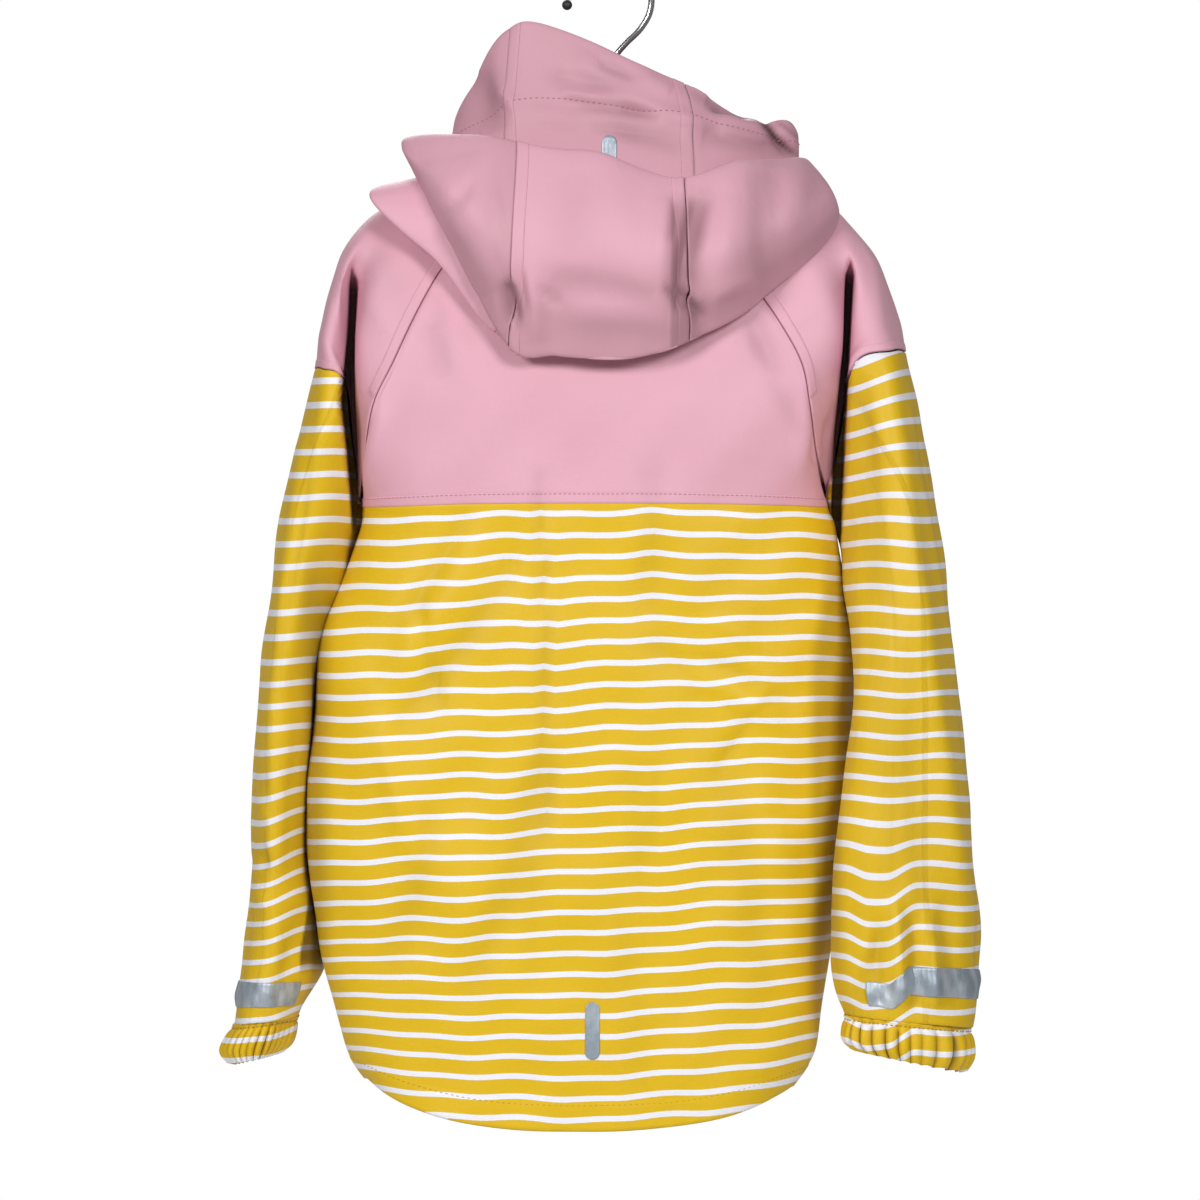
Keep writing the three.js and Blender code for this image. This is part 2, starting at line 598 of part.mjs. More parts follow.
// columns: x, z of the wire below the crook
const wireBelow = [[-19, -42], [-10, -51], [-3.5, -59], [-0.8, -68], [0, -80], [0, -124.7]];
const crook = Array.from({ length: crookPoints }, (_, i) => {
  const turn = mix(crookStart, crookEnd, i / (crookPoints - 1));
  return new THREE.Vector3(crookRadius * Math.cos(turn), 0, crookZ + crookRadius * Math.sin(turn));
});
const wirePath = new THREE.CatmullRomCurve3([
  ...crook,
  ...wireBelow.map(([x, z]) => new THREE.Vector3(x, 0, z)),
], false, 'centripetal');
const wireOutline = new THREE.Shape().absarc(0, 0, wireRadius, 0, 2 * Math.PI, false);
add('hanger_hook', new THREE.ExtrudeGeometry(wireOutline, {
  extrudePath: wirePath, steps: 44, curveSegments: 5,
}), chrome);
const tipStart = wirePath.getPoint(0);
const tipWay = wirePath.getTangent(0);
const tip = add('hook_tip', new THREE.SphereGeometry(tipRadius, 12, 8), rubber);
tip.position.copy(tipStart).addScaledVector(tipWay, -(tipRadius + seamGap));

// columns: x, z of the top of the arms
const armTops = [
  [-136, -155.5], [-120, -151.6], [-103, -147.9], [-67, -141], [-35, -131.5], [0, -125],
  [35, -131.5], [70, -141], [105, -147.9], [122, -151.6], [139, -155.5],
];
const armPath = new THREE.CatmullRomCurve3(
  armTops.map(([x, z]) => new THREE.Vector3(x, 0, z - armHeight / 2)), false, 'centripetal');
const armCorner = 3;
const armOutline = new THREE.Shape([
  [-armDepth / 2 + armCorner, -armHeight / 2], [armDepth / 2 - armCorner, -armHeight / 2],
  [armDepth / 2, -armHeight / 2 + armCorner], [armDepth / 2, armHeight / 2 - armCorner],
  [armDepth / 2 - armCorner, armHeight / 2], [-armDepth / 2 + armCorner, armHeight / 2],
  [-armDepth / 2, armHeight / 2 - armCorner], [-armDepth / 2, -armHeight / 2 + armCorner],
].map(([x, y]) => new THREE.Vector2(x, y)));
add('hanger_arms', new THREE.ExtrudeGeometry(armOutline, { extrudePath: armPath, steps: 24 }), plastic);

export default group;
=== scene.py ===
# Child's hooded raincoat on a wire hanger, seen from behind.
# Sizes are in millimetres until a mesh is made; +Z is up and the coat's back is towards +Y.
import bpy
import numpy as np
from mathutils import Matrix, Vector


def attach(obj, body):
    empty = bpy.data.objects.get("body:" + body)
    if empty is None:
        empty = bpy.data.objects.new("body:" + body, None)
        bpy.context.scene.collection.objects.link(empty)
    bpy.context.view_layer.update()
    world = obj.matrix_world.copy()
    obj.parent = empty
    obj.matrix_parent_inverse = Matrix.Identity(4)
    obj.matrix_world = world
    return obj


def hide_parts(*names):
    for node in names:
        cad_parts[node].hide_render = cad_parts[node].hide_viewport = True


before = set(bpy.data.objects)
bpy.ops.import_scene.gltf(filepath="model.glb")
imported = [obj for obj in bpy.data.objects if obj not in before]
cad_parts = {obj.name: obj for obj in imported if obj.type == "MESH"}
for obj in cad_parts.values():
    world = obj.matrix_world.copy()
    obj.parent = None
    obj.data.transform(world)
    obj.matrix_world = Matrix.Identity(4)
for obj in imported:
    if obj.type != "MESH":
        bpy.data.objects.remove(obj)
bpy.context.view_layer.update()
scene = bpy.context.scene
scene.view_settings.view_transform = "Standard"
print("frame loaded:", len(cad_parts), "nodes")

mm = 0.001
fullTurn = 2 * np.pi


# Curves and grids

# Smooth value at t between the rows of a table: a Catmull-Rom spline in every column.
def between(rows, t):
    rows = np.asarray(rows, float)
    t = np.asarray(t, float)
    i = np.clip(np.floor(t).astype(int), 0, len(rows) - 2)
    f = (t - i).reshape(t.shape + (1,) * (rows.ndim - 1))
    padded = np.concatenate([2 * rows[:1] - rows[1:2], rows, 2 * rows[-1:] - rows[-2:-1]])
    a, b, c, d = padded[i], padded[i + 1], padded[i + 2], padded[i + 3]
    return b + 0.5 * f * (c - a + f * (2 * a - 5 * b + 4 * c - d + f * (3 * (b - c) + d - a)))


# The same for a stack of tables, one for each row of a grid: the result is [row, t, column].
def betweenStack(stack, t):
    return np.moveaxis(between(np.moveaxis(stack, 1, 0), t), 0, 1)


def mix(a, b, t):
    return a + (b - a) * t


# A sine or cosine raised to a power with its sign kept: a quarter of a superellipse.
def soft(value, power):
    return np.sign(value) * np.abs(value) ** power


# 0 below low, 1 above high, smooth between.
def ease(value, low, high):
    t = np.clip((value - low) / (high - low), 0, 1)
    return t * t * (3 - 2 * t)


# 1 from b to c, 0 below a and above d, smooth between.
def window(value, a, b, c, d):
    return ease(value, a, b) * (1 - ease(value, c, d))


# Even shares from 0 to 1, with more of them near the ends: t - closeness * sin(2 pi t) / (2 pi).
def shares(count, closeness=0.0):
    t = np.linspace(0, 1, count + 1)
    return t - closeness * np.sin(fullTurn * t) / fullTurn


def unit(vectors):
    return vectors / np.maximum(np.linalg.norm(vectors, axis=-1, keepdims=True), 1e-9)


# A sheet of cloth as points on a grid (rows down, columns across) with outward normals.
# A closed sheet joins its last column to its first.
class Cloth:
    def __init__(self, points, closed=False):
        self.closed = closed
        # Painted shade of each point, from 0 to 1: how far its colour is darkened.
        self.shade = np.zeros(points.shape[:2])
        self.place(points)

    def place(self, points):
        self.points = points
        if self.closed:
            across = np.roll(points, -1, 1) - np.roll(points, 1, 1)
        else:
            across = np.gradient(points, axis=1)
        self.normals = unit(np.cross(across, np.gradient(points, axis=0)))

    # Moves each point along its normal.
    def push(self, heights):
        self.place(self.points + self.normals * heights[..., None])

    # Distance across each row from its middle, and down each column from its top.
    def lengths(self):
        points = self.points
        if self.closed:
            points = np.concatenate([points, points[:, :1]], 1)
        steps = np.linalg.norm(np.diff(points, axis=1), axis=-1)
        across = np.concatenate([np.zeros((len(points), 1)), np.cumsum(steps, 1)], 1)
        steps = np.linalg.norm(np.diff(points, axis=0), axis=-1)
        down = np.concatenate([np.zeros((1, points.shape[1])), np.cumsum(steps, 0)], 0)
        return across - across[:, -1:] / 2, down

    # Point and normal at fractional columns x and rows y, blended from the four nearest.
    def at(self, x, y):
        rows, columns = self.points.shape[:2]
        y = np.clip(y, 0, rows - 1 - 1e-6)
        j = np.floor(y).astype(int)
        if self.closed:
            i = np.floor(x).astype(int)
            left, right = i % columns, (i + 1) % columns
        else:
            i = np.clip(np.floor(x).astype(int), 0, columns - 2)
            left, right = i, i + 1
        fx = (x - i)[..., None]
        fy = (y - j)[..., None]

        def blend(grid):
            top = grid[j, left] * (1 - fx) + grid[j, right] * fx
            return top * (1 - fy) + (grid[j + 1, left] * (1 - fx) + grid[j + 1, right] * fx) * fy

        return blend(self.points), unit(blend(self.normals))

    # Fractional column and row where the sheet passes through x and z, by Newton's steps.
    def locate(self, x, z, column, row):
        column = np.full(np.shape(x), float(column))
        row = np.full(np.shape(x), float(row))
        for _ in range(14):
            here = self.at(column, row)[0]
            alongX = (self.at(column + 0.5, row)[0] - here) * 2
            alongY = (self.at(column, row + 0.5)[0] - here) * 2
            size = alongX[..., 0] * alongY[..., 2] - alongX[..., 2] * alongY[..., 0]
            dx, dz = x - here[..., 0], z - here[..., 2]
            column = column + np.clip((dx * alongY[..., 2] - dz * alongY[..., 0]) / size, -6, 6)
            row = row + np.clip((dz * alongX[..., 0] - dx * alongX[..., 2]) / size, -6, 6)
        return column, row


# Meshes

def makeMesh(name, verts, faces, material, uvs=None, attributes=None):
    mesh = bpy.data.meshes.new(name)
    mesh.from_pydata((verts * mm).tolist(), [], faces)
    if uvs is not None:
        layer = mesh.uv_layers.new(name="cloth")
        layer.data.foreach_set("uv", uvs.astype(np.float32).ravel())
    for key, values in (attributes or {}).items():
        attribute = mesh.attributes.new(key, "FLOAT", "POINT")
        attribute.data.foreach_set("value", np.asarray(values, np.float32).ravel())
    mesh.polygons.foreach_set("use_smooth", np.ones(len(mesh.polygons), bool))
    mesh.materials.append(material)
    mesh.update()
    piece = bpy.data.objects.new(name, mesh)
    scene.collection.objects.link(piece)
    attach(piece, "root")
    return piece


# Border of a grid as loops of (row, column), going round with the sheet's outside up.
def borders(rows, columns, closed):
    i, j = np.arange(columns), np.arange(rows)
    if closed:
        return [np.stack([0 * i, i], 1), np.stack([0 * i + rows - 1, i[::-1]], 1)]
    return [np.concatenate([
        np.stack([0 * i[:-1], i[:-1]], 1),
        np.stack([j[:-1], 0 * j[:-1] + columns - 1], 1),
        np.stack([0 * i[:-1] + rows - 1, i[:0:-1]], 1),
        np.stack([j[:0:-1], 0 * j[:0:-1]], 1)])]


# A sheet as a thin closed wall with a round rim: outside and inside lie half the thickness from it.
def wallMesh(name, cloth, thickness, material, lift=0.0, attributes=None):
    rows, columns = cloth.points.shape[:2]
    half = np.broadcast_to(np.asarray(thickness, float) / 2, (rows, columns))[..., None]
    middle = cloth.points + cloth.normals * lift
    outer = middle + cloth.normals * half
    inner = middle - cloth.normals * half
    number = np.arange(rows * columns).reshape(rows, columns)
    spans = columns if cloth.closed else columns - 1
    i = np.arange(spans)
    nextColumn = (i + 1) % columns
    quads = np.stack([number[:-1][:, i], number[:-1][:, nextColumn],
                      number[1:][:, nextColumn], number[1:][:, i]], -1).reshape(-1, 4)
    across, down = cloth.lengths()
    u = across[:, :-1] if cloth.closed else across
    uvPoint = np.stack([u, down[:, :columns]], -1).reshape(-1, 2)
    cornerU = np.stack([across[:-1][:, i], across[:-1][:, i + 1],
                        across[1:][:, i + 1], across[1:][:, i]], -1).reshape(-1, 4)
    cornerUv = np.stack([cornerU, uvPoint[quads][..., 1]], -1)
    total = rows * columns
    verts = [outer.reshape(-1, 3), inner.reshape(-1, 3)]
    faces = [quads, quads[:, ::-1] + total]
    uvs = [cornerUv, cornerUv[:, ::-1]]
    source = [np.arange(total), np.arange(total)]
    start = 2 * total
    for loop in borders(rows, columns, cloth.closed):
        edge = number[loop[:, 0], loop[:, 1]]
        points = middle.reshape(-1, 3)[edge]
        along = np.roll(points, -1, 0) - np.roll(points, 1, 0)
        out = unit(np.cross(along, cloth.normals.reshape(-1, 3)[edge]))
        verts.append(points + out * half.reshape(-1, 1)[edge])
        rim = start + np.arange(len(edge))
        after, rimAfter = np.roll(edge, -1), np.roll(rim, -1)
        faces.append(np.stack([edge, rim, rimAfter, after], 1))
        faces.append(np.stack([rim, edge + total, after + total, rimAfter], 1))
        pair = np.stack([uvPoint[edge], uvPoint[edge], uvPoint[after], uvPoint[after]], 1)
        uvs += [pair, pair]
        source.append(edge)
        start += len(edge)
    source = np.concatenate(source)
    values = {key: np.broadcast_to(value, (rows, columns)).reshape(-1)[source]
              for key, value in (attributes or {}).items()}
    return makeMesh(name, np.concatenate(verts), np.concatenate(faces).tolist(), material,
                    np.concatenate(uvs).reshape(-1, 2), values)


# Faces of a tube of rings, closed by a flat face at each end, or by a fan to a point beyond it.
def tubeFaces(count, sides, fans=False, turned=False):
    number = np.arange(count * sides).reshape(count, sides)
    after = np.roll(number, -1, 1)
    faces = np.stack([number[:-1], after[:-1], after[1:], number[1:]], -1).reshape(-1, 4).tolist()
    if fans:
        tip = np.full(sides, count * sides)
        faces += np.stack([tip, after[0], number[0]], -1).tolist()
        faces += np.stack([tip + 1, number[-1], after[-1]], -1).tolist()
    else:
        faces += [number[0][::-1].tolist(), number[-1].tolist()]
    return [face[:1] + face[:0:-1] for face in faces] if turned else faces


# A closed outline carried along a path: each ring is path + across * x + normal * y.
def sweepMesh(name, path, across, normals, outline, material):
    rings = (path[:, None] + across[:, None] * outline[None, :, :1]
             + normals[:, None] * outline[None, :, 1:])
    verts = np.concatenate([rings.reshape(-1, 3), path[:1], path[-1:]])
    return makeMesh(name, verts, tubeFaces(*rings.shape[:2], fans=True), material)


# Thread: one short rounded stitch at each place, with its ends dipping into the cloth.
def stitchMesh(name, centres, ways, normals, slot, material, length=2.2, radius=0.28):
    along = np.array([-0.5, -0.36, 0.0, 0.36, 0.5])
    size = np.array([0.35, 0.95, 1.1, 0.95, 0.35])
    height = np.array([-0.5, 0.35, 0.75, 0.35, -0.5]) * radius
    sides = 6
    turn = fullTurn * np.arange(sides) / sides
    ring = np.stack([np.repeat(along * length, sides),
                     (size[:, None] * np.cos(turn) * radius).ravel(),
                     (height[:, None] + size[:, None] * np.sin(turn) * radius).ravel()], -1)
    side = unit(np.cross(normals, ways))
    verts = (centres[:, None] + ways[:, None] * ring[None, :, :1]
             + side[:, None] * ring[None, :, 1:2] + normals[:, None] * ring[None, :, 2:])
    faces = tubeFaces(len(along), sides)
    everyFace = [[k + len(ring) * n for k in face] for n in range(len(centres)) for face in faces]
    return makeMesh(name, verts.reshape(-1, 3), everyFace, material)


# Evenly spaced places along a line on a sheet: x and y are fractional columns and rows.
def placesAlong(cloth, x, y, spacing, lift):
    points, normals = cloth.at(x, y)
    run = np.concatenate([[0], np.cumsum(np.linalg.norm(np.diff(points, axis=0), axis=-1))])
    places = np.arange(spacing / 2, run[-1], spacing)
    at = np.stack([np.interp(places, run, points[:, k]) for k in range(3)], -1)
    up = unit(np.stack([np.interp(places, run, normals[:, k]) for k in range(3)], -1))
    ahead = np.stack([np.interp(places + 0.5, run, points[:, k]) for k in range(3)], -1)
    behind = np.stack([np.interp(places - 0.5, run, points[:, k]) for k in range(3)], -1)
    way = ahead - behind
    way = unit(way - up * np.sum(way * up, -1, keepdims=True))
    return at + up * lift, way, up


# Folds

# A soft trough or ridge beside a bowed line from start to end, seen flat in x and z:
# height * exp(-(distance / width)^2), fading towards both ends.
def crease(x, z, startX, startZ, endX, endZ, height, width, bow=0.0):
    dx, dz = endX - startX, endZ - startZ
    length = np.hypot(dx, dz)
    t = ((x - startX) * dx + (z - startZ) * dz) / length ** 2
    inside = np.clip(t, 0, 1)
    off = ((x - startX) * dz - (z - startZ) * dx) / length - bow * 4 * inside * (1 - inside)
    beyond = (t - inside) * length
    fade = 0.3 + 0.7 * np.sqrt(np.clip(4 * inside * (1 - inside), 0, 1))
    return height * fade * np.exp(-(off / width) ** 2 - (beyond / width) ** 2)


def creases(points, table):
    total = np.zeros(points.shape[:2])
    for row in table:
        total += crease(points[..., 0], points[..., 2], *row)
    return total


# Painted shade in a trough: a share of its depth in millimetres.
def troughShade(heights, perMillimetre=0.035):
    return np.clip(-heights, 0, 5) * perMillimetre


# Low uneven swells: a few sines that cross at odd angles.
# columns: waves per metre along x, y and z, and start
swells = [[7.1, 3.0, 2.2, 0.3], [-4.6, 6.0, 5.3, 2.1], [11.7, -5.0, -6.4, 4.4], [3.2, 9.0, -12.5, 1.2],
          [-15.1, 7.0, 9.8, 5.3], [19.0, 4.0, 17.2, 3.7]]


def swell(points, height):
    total = np.zeros(points.shape[:2])
    for perX, perY, perZ, start in swells:
        size = np.sqrt(7.0 / np.hypot(perX, perZ))
        total += size * np.sin(fullTurn * mm * (points @ np.array([perX, perY, perZ])) + start)
    return height * total / 2


# Sheets, seams and what lies on them

sheetPieces = {}


# A sheet that stands for its CAD node, kept with what is sewn on it.
def clothPiece(node, cloth, thickness, material, stripe=None, lift=0.0):
    # The sheet's painted shade goes on as a point attribute.
    attributes = {"paintedShade": cloth.shade}
    if stripe is not None:
        attributes["stripe"] = stripe
    piece = wallMesh(node + "_cloth", cloth, thickness, material, lift, attributes)
    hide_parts(node)
    sheetPieces[node] = {"piece": piece, "cloth": cloth, "sewn": []}


# Fractional columns and rows of a line that runs along a border, offset millimetres inside it.
def inset(cloth, border, offset):
    rows, columns = cloth.points.shape[:2]
    across, down = cloth.lengths()
    if border in ("first", "last"):
        order = slice(None) if border == "first" else slice(None, None, -1)
        run = np.abs(across - across[:, [0 if border == "first" else -1]])[:, order]
        number = np.arange(columns, dtype=float)[order]
        return np.array([np.interp(offset, line, number) for line in run]), np.arange(rows, dtype=float)
    order = slice(None) if border == "top" else slice(None, None, -1)
    run = np.abs(down - down[[0 if border == "top" else -1]])[order]
    number = np.arange(rows, dtype=float)[order]
    return (np.arange(down.shape[1], dtype=float),
            np.array([np.interp(offset, line, number) for line in run.T]))


# A patch of a sheet at fractional columns and rows, as a sheet with its outside on the same side.
def patchOf(cloth, x, y):
    points, normals = cloth.at(x, y)
    # The painted shade under the patch comes with it.
    shade = cloth.shade[np.rint(y).astype(int), np.rint(x).astype(int)]
    patch = Cloth(points)
    if np.mean(np.sum(patch.normals * normals, -1)) < 0:
        patch, shade = Cloth(points[:, ::-1]), shade[:, ::-1]
    patch.shade = shade
    return patch


# The stretch of a border's places from one share of it to another.
def stretch(count, fromShare, toShare):
    return slice(int(round(fromShare * (count - 1))), int(round(toShare * (count - 1))) + 1)


# What lies on a sheet: lifts above its middle, and where a tape begins inside the border.
sewing = {"tapeLift": 0.5, "stitchLift": 0.55, "tapeFrom": 0.1, "tapeLines": 6}


# A welded tape or turned edge: a thin strip that lies on an open sheet beside a border.
def tape(name, node, border, width, height=0.45, fromShare=0.0, toShare=1.0):
    sheet = sheetPieces[node]
    offsets = np.linspace(sewing["tapeFrom"], width, sewing["tapeLines"])
    lines = [inset(sheet["cloth"], border, offset) for offset in offsets]
    x, y = [np.stack([line[k] for line in lines], -1) for k in (0, 1)]
    keep = stretch(len(x), fromShare, toShare)
    patch = patchOf(sheet["cloth"], x[keep], y[keep])
    # The tape takes the painted shade of the cloth under it.
    sheet["sewn"].append(wallMesh(name, patch, height, pinkCloth,
                                  sewing["tapeLift"] + height / 2, {"paintedShade": patch.shade}))


# A line of stitches along a border, or along a row of the sheet.
def seam(name, node, border, offset, slot, material, spacing=3.6, lift=sewing["stitchLift"],
         fromShare=0.0, toShare=1.0, row=None, **size):
    sheet = sheetPieces[node]
    x, y = inset(sheet["cloth"], border, offset)
    if row is not None:
        y = np.full(len(x), float(row))
    if sheet["cloth"].closed:
        x, y = np.append(x, x[-1] + 1), np.append(y, y[0])
    keep = stretch(len(x), fromShare, toShare)
    places = placesAlong(sheet["cloth"], x[keep], y[keep], spacing, lift)
    sheet["sewn"].append(stitchMesh(name, *places, slot, material, **size))


print("helpers ready")

# Tables of the coat's form, as in the CAD part

torsoRows = [
    [74, 34, -152, -68, 34, -152, 45, -160, -52, -190],
    [92, 42, -178, -75, 42, -178, 53, -184, -57, -206],
    [108, 50, -200, -86, 50, -200, 59, -206, -61, -222],
    [122, 56, -226, -104, 57, -226, 64, -231, -64, -242],
    [134, 60, -252, -118, 61, -252, 67, -256, -66, -262],
    [146, 58, -277, -123, 58, -277, 69, -280, -67, -284],
    [151, 42, -306, -127, 42, -306, 70, -308, -68, -308],
    [154, 5, -341, -134, 5, -341, 71, -339, -68, -339],
    [155, 4, -353, -139, 4, -353, 71, -352, -69, -352],
    [162, 4, -374, -143, 4, -374, 71, -374, -69, -374],
    [172, 4, -400, -148, 4, -400, 72, -401, -70, -400],
    [181, 4, -427, -153, 4, -427, 73, -430, -71, -427],
    [184, 4, -471, -154, 4, -471, 74, -476, -72, -471],
    [188, 4, -512, -150, 4, -512, 74, -520, -72, -512],
    [189, 4, -553, -146, 4, -553, 74, -564, -72, -553],
    [184, 4, -588, -142, 4, -588, 72, -603, -70, -588],
    [180, 4, -620, -137, 4, -620, 70, -639, -68, -620],
    [172, 4, -650, -132, 4, -650, 68, -673, -66, -648],
    [165, 4, -676, -128, 4, -678, 66, -703, -64, -672],
    [159, 4, -697, -120, 4, -702, 64, -728, -62, -692],
]

leftHead = [
    [73, 26, -147, 72, 18, -143, 71, 12, -141, 70, 6, -139.5, 70, 0, -139],
    [99, 36, -166, 102, 28, -156, 104, 18, -149.5, 105, 9, -147, 105, 0, -146],
    [124, 45, -184, 131, 34, -170, 134, 22, -159, 135, 11, -153, 135, 0, -152],
    [144, 50, -206, 151, 38, -190, 155, 34, -175, 154, 17, -164, 152, 0, -161],
    [155, 48, -232, 160, 24, -214, 165.5, 42, -198, 168, 26, -184, 166, 0, -179],
    [157, 42, -262, 162, 14, -248, 167.5, 46, -228, 174, 38, -211, 174, 0, -205],
    [156.5, 26, -290, 161.5, 4, -292, 168.5, 48, -250, 178, 48, -236, 181, 0, -232],
]

rightHead = [
    [66, 26, -147, 66, 18, -143, 66, 12, -141, 66, 6, -139.5, 66, 0, -139],
    [88, 36, -168, 96, 28, -158, 101, 18, -150, 103, 9, -147, 103, 0, -146],
    [112, 46, -188, 124, 36, -174, 130, 23, -162, 133, 11, -154, 134, 0, -152],
    [130, 51, -208, 141, 39, -193, 148, 34, -179, 150, 17, -167, 149, 0, -164],
    [141, 49, -232, 147, 24, -214, 154, 42, -200, 163, 26, -187, 164, 0, -183],
    [141, 42, -262, 147, 14, -248, 153, 46, -224, 168, 38, -210, 173, 0, -204],
    [138.5, 26, -290, 144.5, 4, -292, 152, 48, -245, 170, 48, -231, 180, 0, -226],
]

leftRings = [
    [157, 184, 0, 58, 0, -339, -255, 0],
    [158.5, 190, -2, 60, 0, -352, -279, 0.3],
    [164, 197, -5, 60, 0, -368, -305, 0.7],
    [170, 204, -9, 59, 0, -393, -340, 1],
    [181, 209, -13, 60, 0, -423, -380, 1],
    [188, 215, -15, 61, 0, -458, -424, 1],
    [191, 220, -16, 60, 2, -497, -470, 1],
    [193, 222, -18, 58, 3, -534, -515, 1],
    [193, 223, -20, 56, 5, -570, -560, 1],
    [189, 224, -22, 53, 7, -600, -596, 1],
    [187, 227, -23, 50, 8, -624, -622, 1],
    [190, 232, -23, 47, 8, -644, -645, 1],
    [195, 235, -23, 44, 6, -659, -664, 1],
]

rightRings = [
    [137, 184, 0, 58, 0, -337, -244, 0],
    [141, 191, 4, 58, -3, -352, -276, 0.3],
    [147, 197, 10, 56, -6, -368, -308, 0.7],
    [151, 203, 18, 54, -8, -393, -345, 1],
    [156, 208, 27, 52, -10, -423, -385, 1],
    [156, 213, 36, 49, -12, -458, -430, 1],
    [151, 219, 42, 45, -13, -497, -477, 1],
    [147, 223, 45, 42, -13, -534, -520, 1],
    [144, 226, 46, 41, -12, -570, -562, 1],
    [141, 229, 46, 40, -12, -600, -597, 1],
    [138, 228, 46, 39, -10, -624, -624, 1],
    [140, 227, 46, 38, -8, -641, -646, 1],
    [145, 224, 46, 37, -6, -656, -664, 1],
]

leftCuff = [
    [195.5, 235.2, -23, 43.5, 6, -659.6, -664.6, 0.7],
    [199, 238, -23, 41, 6, -668, -673, 1.3],
    [203, 240, -23, 38, 6, -677, -682, 1.5],
    [208, 237, -23, 36, 6, -683, -689, 1.2],
]

rightCuff = [
    [145.5, 224, 46, 36.5, -6, -656.6, -664.6, 0.7],
    [146, 224, 46, 35, -6, -664, -674, 1.4],
    [147, 223, 46, 34, -6, -672, -684, 1.6],
    [151, 220, 46, 32, -6, -678, -692, 1.3],
]

hoodLines = {
    "brim": [
        [5, -60, -160], [37, -57, -149], [62, -50, -134], [86, -28, -118], [97, -4, -101], [76, 18, -58],
        [62, 26, -43], [46, 30, -40], [8, 33, -54], [-27, 31, -70], [-46, 27, -78], [-88, 12, -98],
        [-113, -8, -104], [-98, -30, -120], [-60, -50, -136], [-31, -57, -149], [1, -60, -160],
    ],
    "facing": [
        [5, -60, -166], [37, -57.5, -155], [63, -51, -140], [88, -27, -123], [99, 1, -113], [80, 28, -100],
        [66, 38, -91], [46, 43, -87], [5, 46, -90], [-26, 44, -94], [-51, 40, -98], [-87, 26, -107],
        [-117, -2, -114], [-100, -28, -125], [-61, -51, -142], [-31, -57.5, -155], [1, -60, -166],
    ],
    "valley": [
        [5, -60, -171], [37, -58, -160], [64, -52, -145], [91, -25, -128], [103, 6, -125], [86, 40, -132],
        [64, 56, -140], [40, 60, -144], [5, 62, -146], [-24, 62, -150], [-52, 60, -151], [-88, 38, -146],
        [-118, 4, -130], [-102, -26, -129], [-61, -52, -147], [-31, -58, -160], [1, -60, -171],
    ],
    "ridge": [
        [5, -60, -175], [37, -58, -164], [65, -52, -150], [98, -22, -130], [126, 14, -112], [84, 62, -111],
        [58, 74, -116], [32, 80, -121], [5, 82, -124], [-20, 80, -134], [-46, 77, -138], [-84, 62, -128],
        [-122, 16, -125], [-106, -22, -131], [-61, -52, -151], [-31, -58, -164], [1, -60, -175],
    ],
    "belly": [
        [5, -59.5, -178], [37, -57.5, -168], [65, -53, -154], [101, -20, -132], [129, 26, -118],
        [90, 86, -148], [60, 100, -176], [34, 106, -180], [4, 108, -182], [-22, 107, -185],
        [-50, 102, -184], [-92, 84, -170], [-137, 30, -144], [-109, -20, -133], [-61, -53, -155],
        [-31, -57.5, -168], [1, -59.5, -178],
    ],
    "rim": [
        [5, -58.5, -181], [37, -57, -171.5], [65, -53, -158], [101, -19, -135], [124, 38, -128],
        [96, 84, -178], [62, 92, -240], [34, 94, -245], [2, 95, -249], [-24, 94, -246], [-49, 90, -238],
        [-94, 74, -212], [-142, 34, -162], [-109, -18, -136], [-60, -53, -158], [-31, -57, -171.5],
        [1, -58.5, -181],
    ],
    "tuck": [
        [5, -57.5, -183], [37, -56, -174.5], [64, -53, -161], [99, -18, -137], [118, 42, -138],
        [86, 72, -176], [58, 79, -222], [34, 81, -226], [2, 81, -228], [-24, 80, -226], [-48, 77, -218],
        [-86, 63, -194], [-128, 38, -158], [-104, -17, -137], [-58, -53, -161], [-31, -56, -174.5],
        [1, -57.5, -183],
    ],
    "under": [
        [5, -56, -185], [37, -55, -177.5], [62, -52, -164], [96, -20, -140], [148, 38, -146],
        [106, 64, -190], [72, 69, -228], [36, 69, -214], [2, 69, -208], [-24, 68, -206], [-46, 66, -200],
        [-76, 56, -180], [-112, 36, -158], [-97, -19, -140], [-56, -52, -164], [-31, -55, -177.5],
        [1, -56, -185],
    ],
    "nape": [
        [5, -54.5, -187], [37, -53.5, -180.5], [60, -51, -163], [85, -24, -137], [78, 2, -131],
        [81, 36, -143], [61, 48, -151], [37, 49.5, -154], [5, 50, -155.5], [-25, 49.5, -155],
        [-47, 48, -152.5], [-71, 37, -143.5], [-73, 4, -131], [-80, -24, -137], [-55, -51, -163],
        [-31, -53.5, -180.5], [1, -54.5, -187],
    ],
    "neck": [
        [5, -53, -188.4], [36, -51.5, -183], [57.5, -48, -168.3], [75.5, -32, -146.6], [71.8, 0, -136.9],
        [74.5, 30, -147.6], [58, 43.5, -155], [36, 45.5, -158], [5, 46.5, -159], [-24, 46, -158.4],
        [-44, 44.5, -156.5], [-66.5, 31, -148], [-67.8, 0, -136.9], [-70, -32, -146.3], [-52, -48, -168.3],
        [-30, -51.5, -183], [1, -53, -188.4],
    ],
}

# Materials

def nodeGroup(name, inputs, outputs):
    group = bpy.data.node_groups.new(name, "ShaderNodeTree")
    for socket, kind, value in inputs:
        made = group.interface.new_socket(socket, in_out="INPUT", socket_type=kind)
        made.default_value = value
    for socket, kind in outputs:
        group.interface.new_socket(socket, in_out="OUTPUT", socket_type=kind)
    return group, group.nodes.new("NodeGroupInput"), group.nodes.new("NodeGroupOutput")


